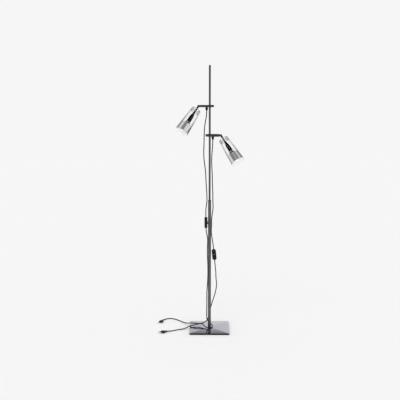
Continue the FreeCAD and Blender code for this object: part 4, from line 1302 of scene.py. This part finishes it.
def rocker_rings():
    """Rocker: its side outline carried across, and drawn in a little towards both its sides."""
    outline = eased([(-9.1, 11.5), (9.1, 11.5), (9.55, 14.5), (9.1, 17.6), (8.5, 22.0), (0.0, 19.0),
                     (-8.5, 22.0), (-9.1, 17.6), (-9.55, 14.5)],
                    [0.4, 0.4, 1.2, 1.0, 1.2, 5.0, 1.2, 1.0, 1.2], 6)
    across = np.array([-5.7, -5.55, -5.2, 5.2, 5.55, 5.7])
    shrink = np.array([0.93, 0.98, 1.0, 1.0, 0.98, 0.93])
    centre = np.array([0.0, 16.0])
    flat = centre + (outline - centre)[None] * shrink[:, None, None]
    x = np.broadcast_to(across[:, None, None], flat.shape[:2] + (1,))
    return np.concatenate([x, flat], axis=-1)


def rocker_place(prefix):
    """The rocker rests tilted, one end pressed in."""
    pivot = Matrix.Translation((0, 0, ROCKER_PIVOT))
    tilt = Matrix.Rotation(math.radians(-ROCKER_TILT), 4, "X")
    return switch_place(prefix) @ pivot @ tilt @ pivot.inverted()


class FLOORLAMP_OT_switches(bpy.types.Operator):
    """Inline rocker switches"""

    bl_idname = "floor_lamp.switches"
    bl_label = "Switches"

    def execute(self, context):
        leads = settings().leads
        housing = moulded("Switch housing", leads.housing, (0.38, 0.52), 1300.0, 0.00003, sheen_level=0.25)
        glossy = moulded("Rocker", scaled_colour(leads.housing, 1.2), (0.16, 0.26), 1300.0, 0.000005)
        pale = moulded("Rocker mark", leads.mark, (0.3, 0.4), 1300.0, 0.000005)
        zinc = metal("Switch screws", (0.35, 0.35, 0.34), (0.3, 0.45), (20.0, 20.0, 1500.0))
        mark = turned(eased([(1.5, 18.9), (1.5, 20.15), (1.2, 20.3)], 0.1, 3, on_axis=True), 24)
        screw = turned(eased([(2.4, -0.25), (2.4, 0.4)], [0.3, 0.1], 4, on_axis=True), 24)
        screws = [(screw + (0, y, 0), False) for y in (-SWITCH_SCREW_Y, SWITCH_SCREW_Y)]
        for prefix in LEADS:
            place = switch_place(prefix)
            for label, rings, closed in (
                ("_switch_base", switch_base_rings(), False), ("_switch_cover", switch_cover_rings(), True),
            ):
                make_piece(prefix + label + "_form", [(rings, closed)], place, "root",
                           [housing], [prefix + label], sharp=45.0)
            rocker = prefix + "_rocker"
            make_piece(prefix + "_switch_rocker_form", [(rocker_rings(), False)], rocker_place(prefix),
                       rocker, [glossy], [prefix + "_switch_rocker"], sharp=45.0)
            make_piece(prefix + "_rocker_mark", [(mark, False)], rocker_place(prefix), rocker,
                       [pale])
            make_piece(prefix + "_switch_screws", screws, place, "root", [zinc])
        return {"FINISHED"}


def plug_rings():
    """Plug body: rounded flat sections along y, slim and ribbed at the tail, wide at the face."""
    station = np.linspace(0.0, PLUG_LENGTH, 73)
    half_width = np.interp(station, *np.transpose(PLUG_HALF_WIDTHS))
    half_width = np.convolve(np.pad(half_width, 3, mode="edge"), np.ones(7) / 7, mode="valid")
    half_height = np.interp(station, *np.transpose(PLUG_HALF_HEIGHTS))
    rib = 0.3 * (1 - np.cos(2 * np.pi * station / 2.4)) * (station < 12.0)
    outlines = [octagon(w, h, min(w, h) * 0.55, min(w, h) * 0.3)
                for w, h in zip(half_width - rib, half_height - rib)]
    x, drop, y = np.moveaxis(stacked(outlines, station), -1, 0)
    return np.stack([x, y, PLUG_MIDDLE - drop], axis=-1)


class FLOORLAMP_OT_plugs(bpy.types.Operator):
    """Two-pin plugs"""

    bl_idname = "floor_lamp.plugs"
    bl_label = "Plugs"

    def execute(self, context):
        leads = settings().leads
        housing = moulded("Plug housing", leads.housing, (0.40, 0.55), 1100.0, 0.00003)
        sleeve = moulded("Pin sleeve", leads.housing, (0.35, 0.45))
        nickel = metal("Plug pins", (0.66, 0.65, 0.62), (0.18, 0.30), (20.0, 20.0, 1200.0))
        pin = eased([(1.95, 34.0), (1.95, 54.0), (1.0, 55.0)], [0.1, 0.8, 0.6], 5, on_axis=True)
        cuff = eased([(1.9, 34.5), (2.0, 34.6), (2.0, 45.8), (1.95, 46.0)], 0.1, 3, on_axis=True)
        along_y = Matrix.Translation((0, 0, PLUG_MIDDLE)) @ Matrix.Rotation(math.radians(-90), 4, "X")
        for prefix in LEADS:
            place = plug_place(prefix)
            body = make_piece(prefix + "_plug_body_form", [(plug_rings(), False)], place, "root",
                              [housing], [prefix + "_plug_body"], sharp=45.0)
            for label, outline, material, slot, nodes in (
                ("_plug_pins_form", pin, nickel, "nickel", [prefix + "_plug_pins"]),
                ("_plug_sleeves", cuff, sleeve, "switch_plastic", []),
            ):
                shells = [(turned(outline, 32) + (x, 0, 0), False) for x in (-PIN_X, PIN_X)]
                make_piece(prefix + label, shells, place @ along_y, "root", [material],
                                        nodes)
            declare_floor_lead(prefix)
        return {"FINISHED"}


# ---------------------------------------------------------------- panel and registration

OPERATORS = (
    FLOORLAMP_OT_stage, FLOORLAMP_OT_leads, FLOORLAMP_OT_base, FLOORLAMP_OT_pole, FLOORLAMP_OT_brackets,
    FLOORLAMP_OT_stems, FLOORLAMP_OT_holders, FLOORLAMP_OT_bulbs, FLOORLAMP_OT_shades,
    FLOORLAMP_OT_switches, FLOORLAMP_OT_plugs,
)


class FLOORLAMP_PT_panel(bpy.types.Panel):
    """Lists the lamp's pieces"""

    bl_idname = "FLOORLAMP_PT_panel"
    bl_label = "Floor lamp"
    bl_space_type = "VIEW_3D"
    bl_region_type = "UI"
    bl_category = "Floor lamp"

    def draw(self, context):
        for operator in OPERATORS:
            self.layout.operator(operator.bl_idname)


CLASSES = (
    FLOORLAMP_PG_stage, FLOORLAMP_PG_base, FLOORLAMP_PG_pole, FLOORLAMP_PG_spots, FLOORLAMP_PG_leads,
    FLOORLAMP_PG_settings, *OPERATORS, FLOORLAMP_PT_panel,
)


def register():
    for each in CLASSES:
        bpy.utils.register_class(each)
    bpy.types.Scene.floor_lamp = PointerProperty(type=FLOORLAMP_PG_settings)


def unregister():
    del bpy.types.Scene.floor_lamp
    for each in reversed(CLASSES):
        bpy.utils.unregister_class(each)


def main():
    register()
    for operator in OPERATORS:
        group, name = operator.bl_idname.split(".")
        getattr(getattr(bpy.ops, group), name)()


if __name__ == "__main__":
    main()
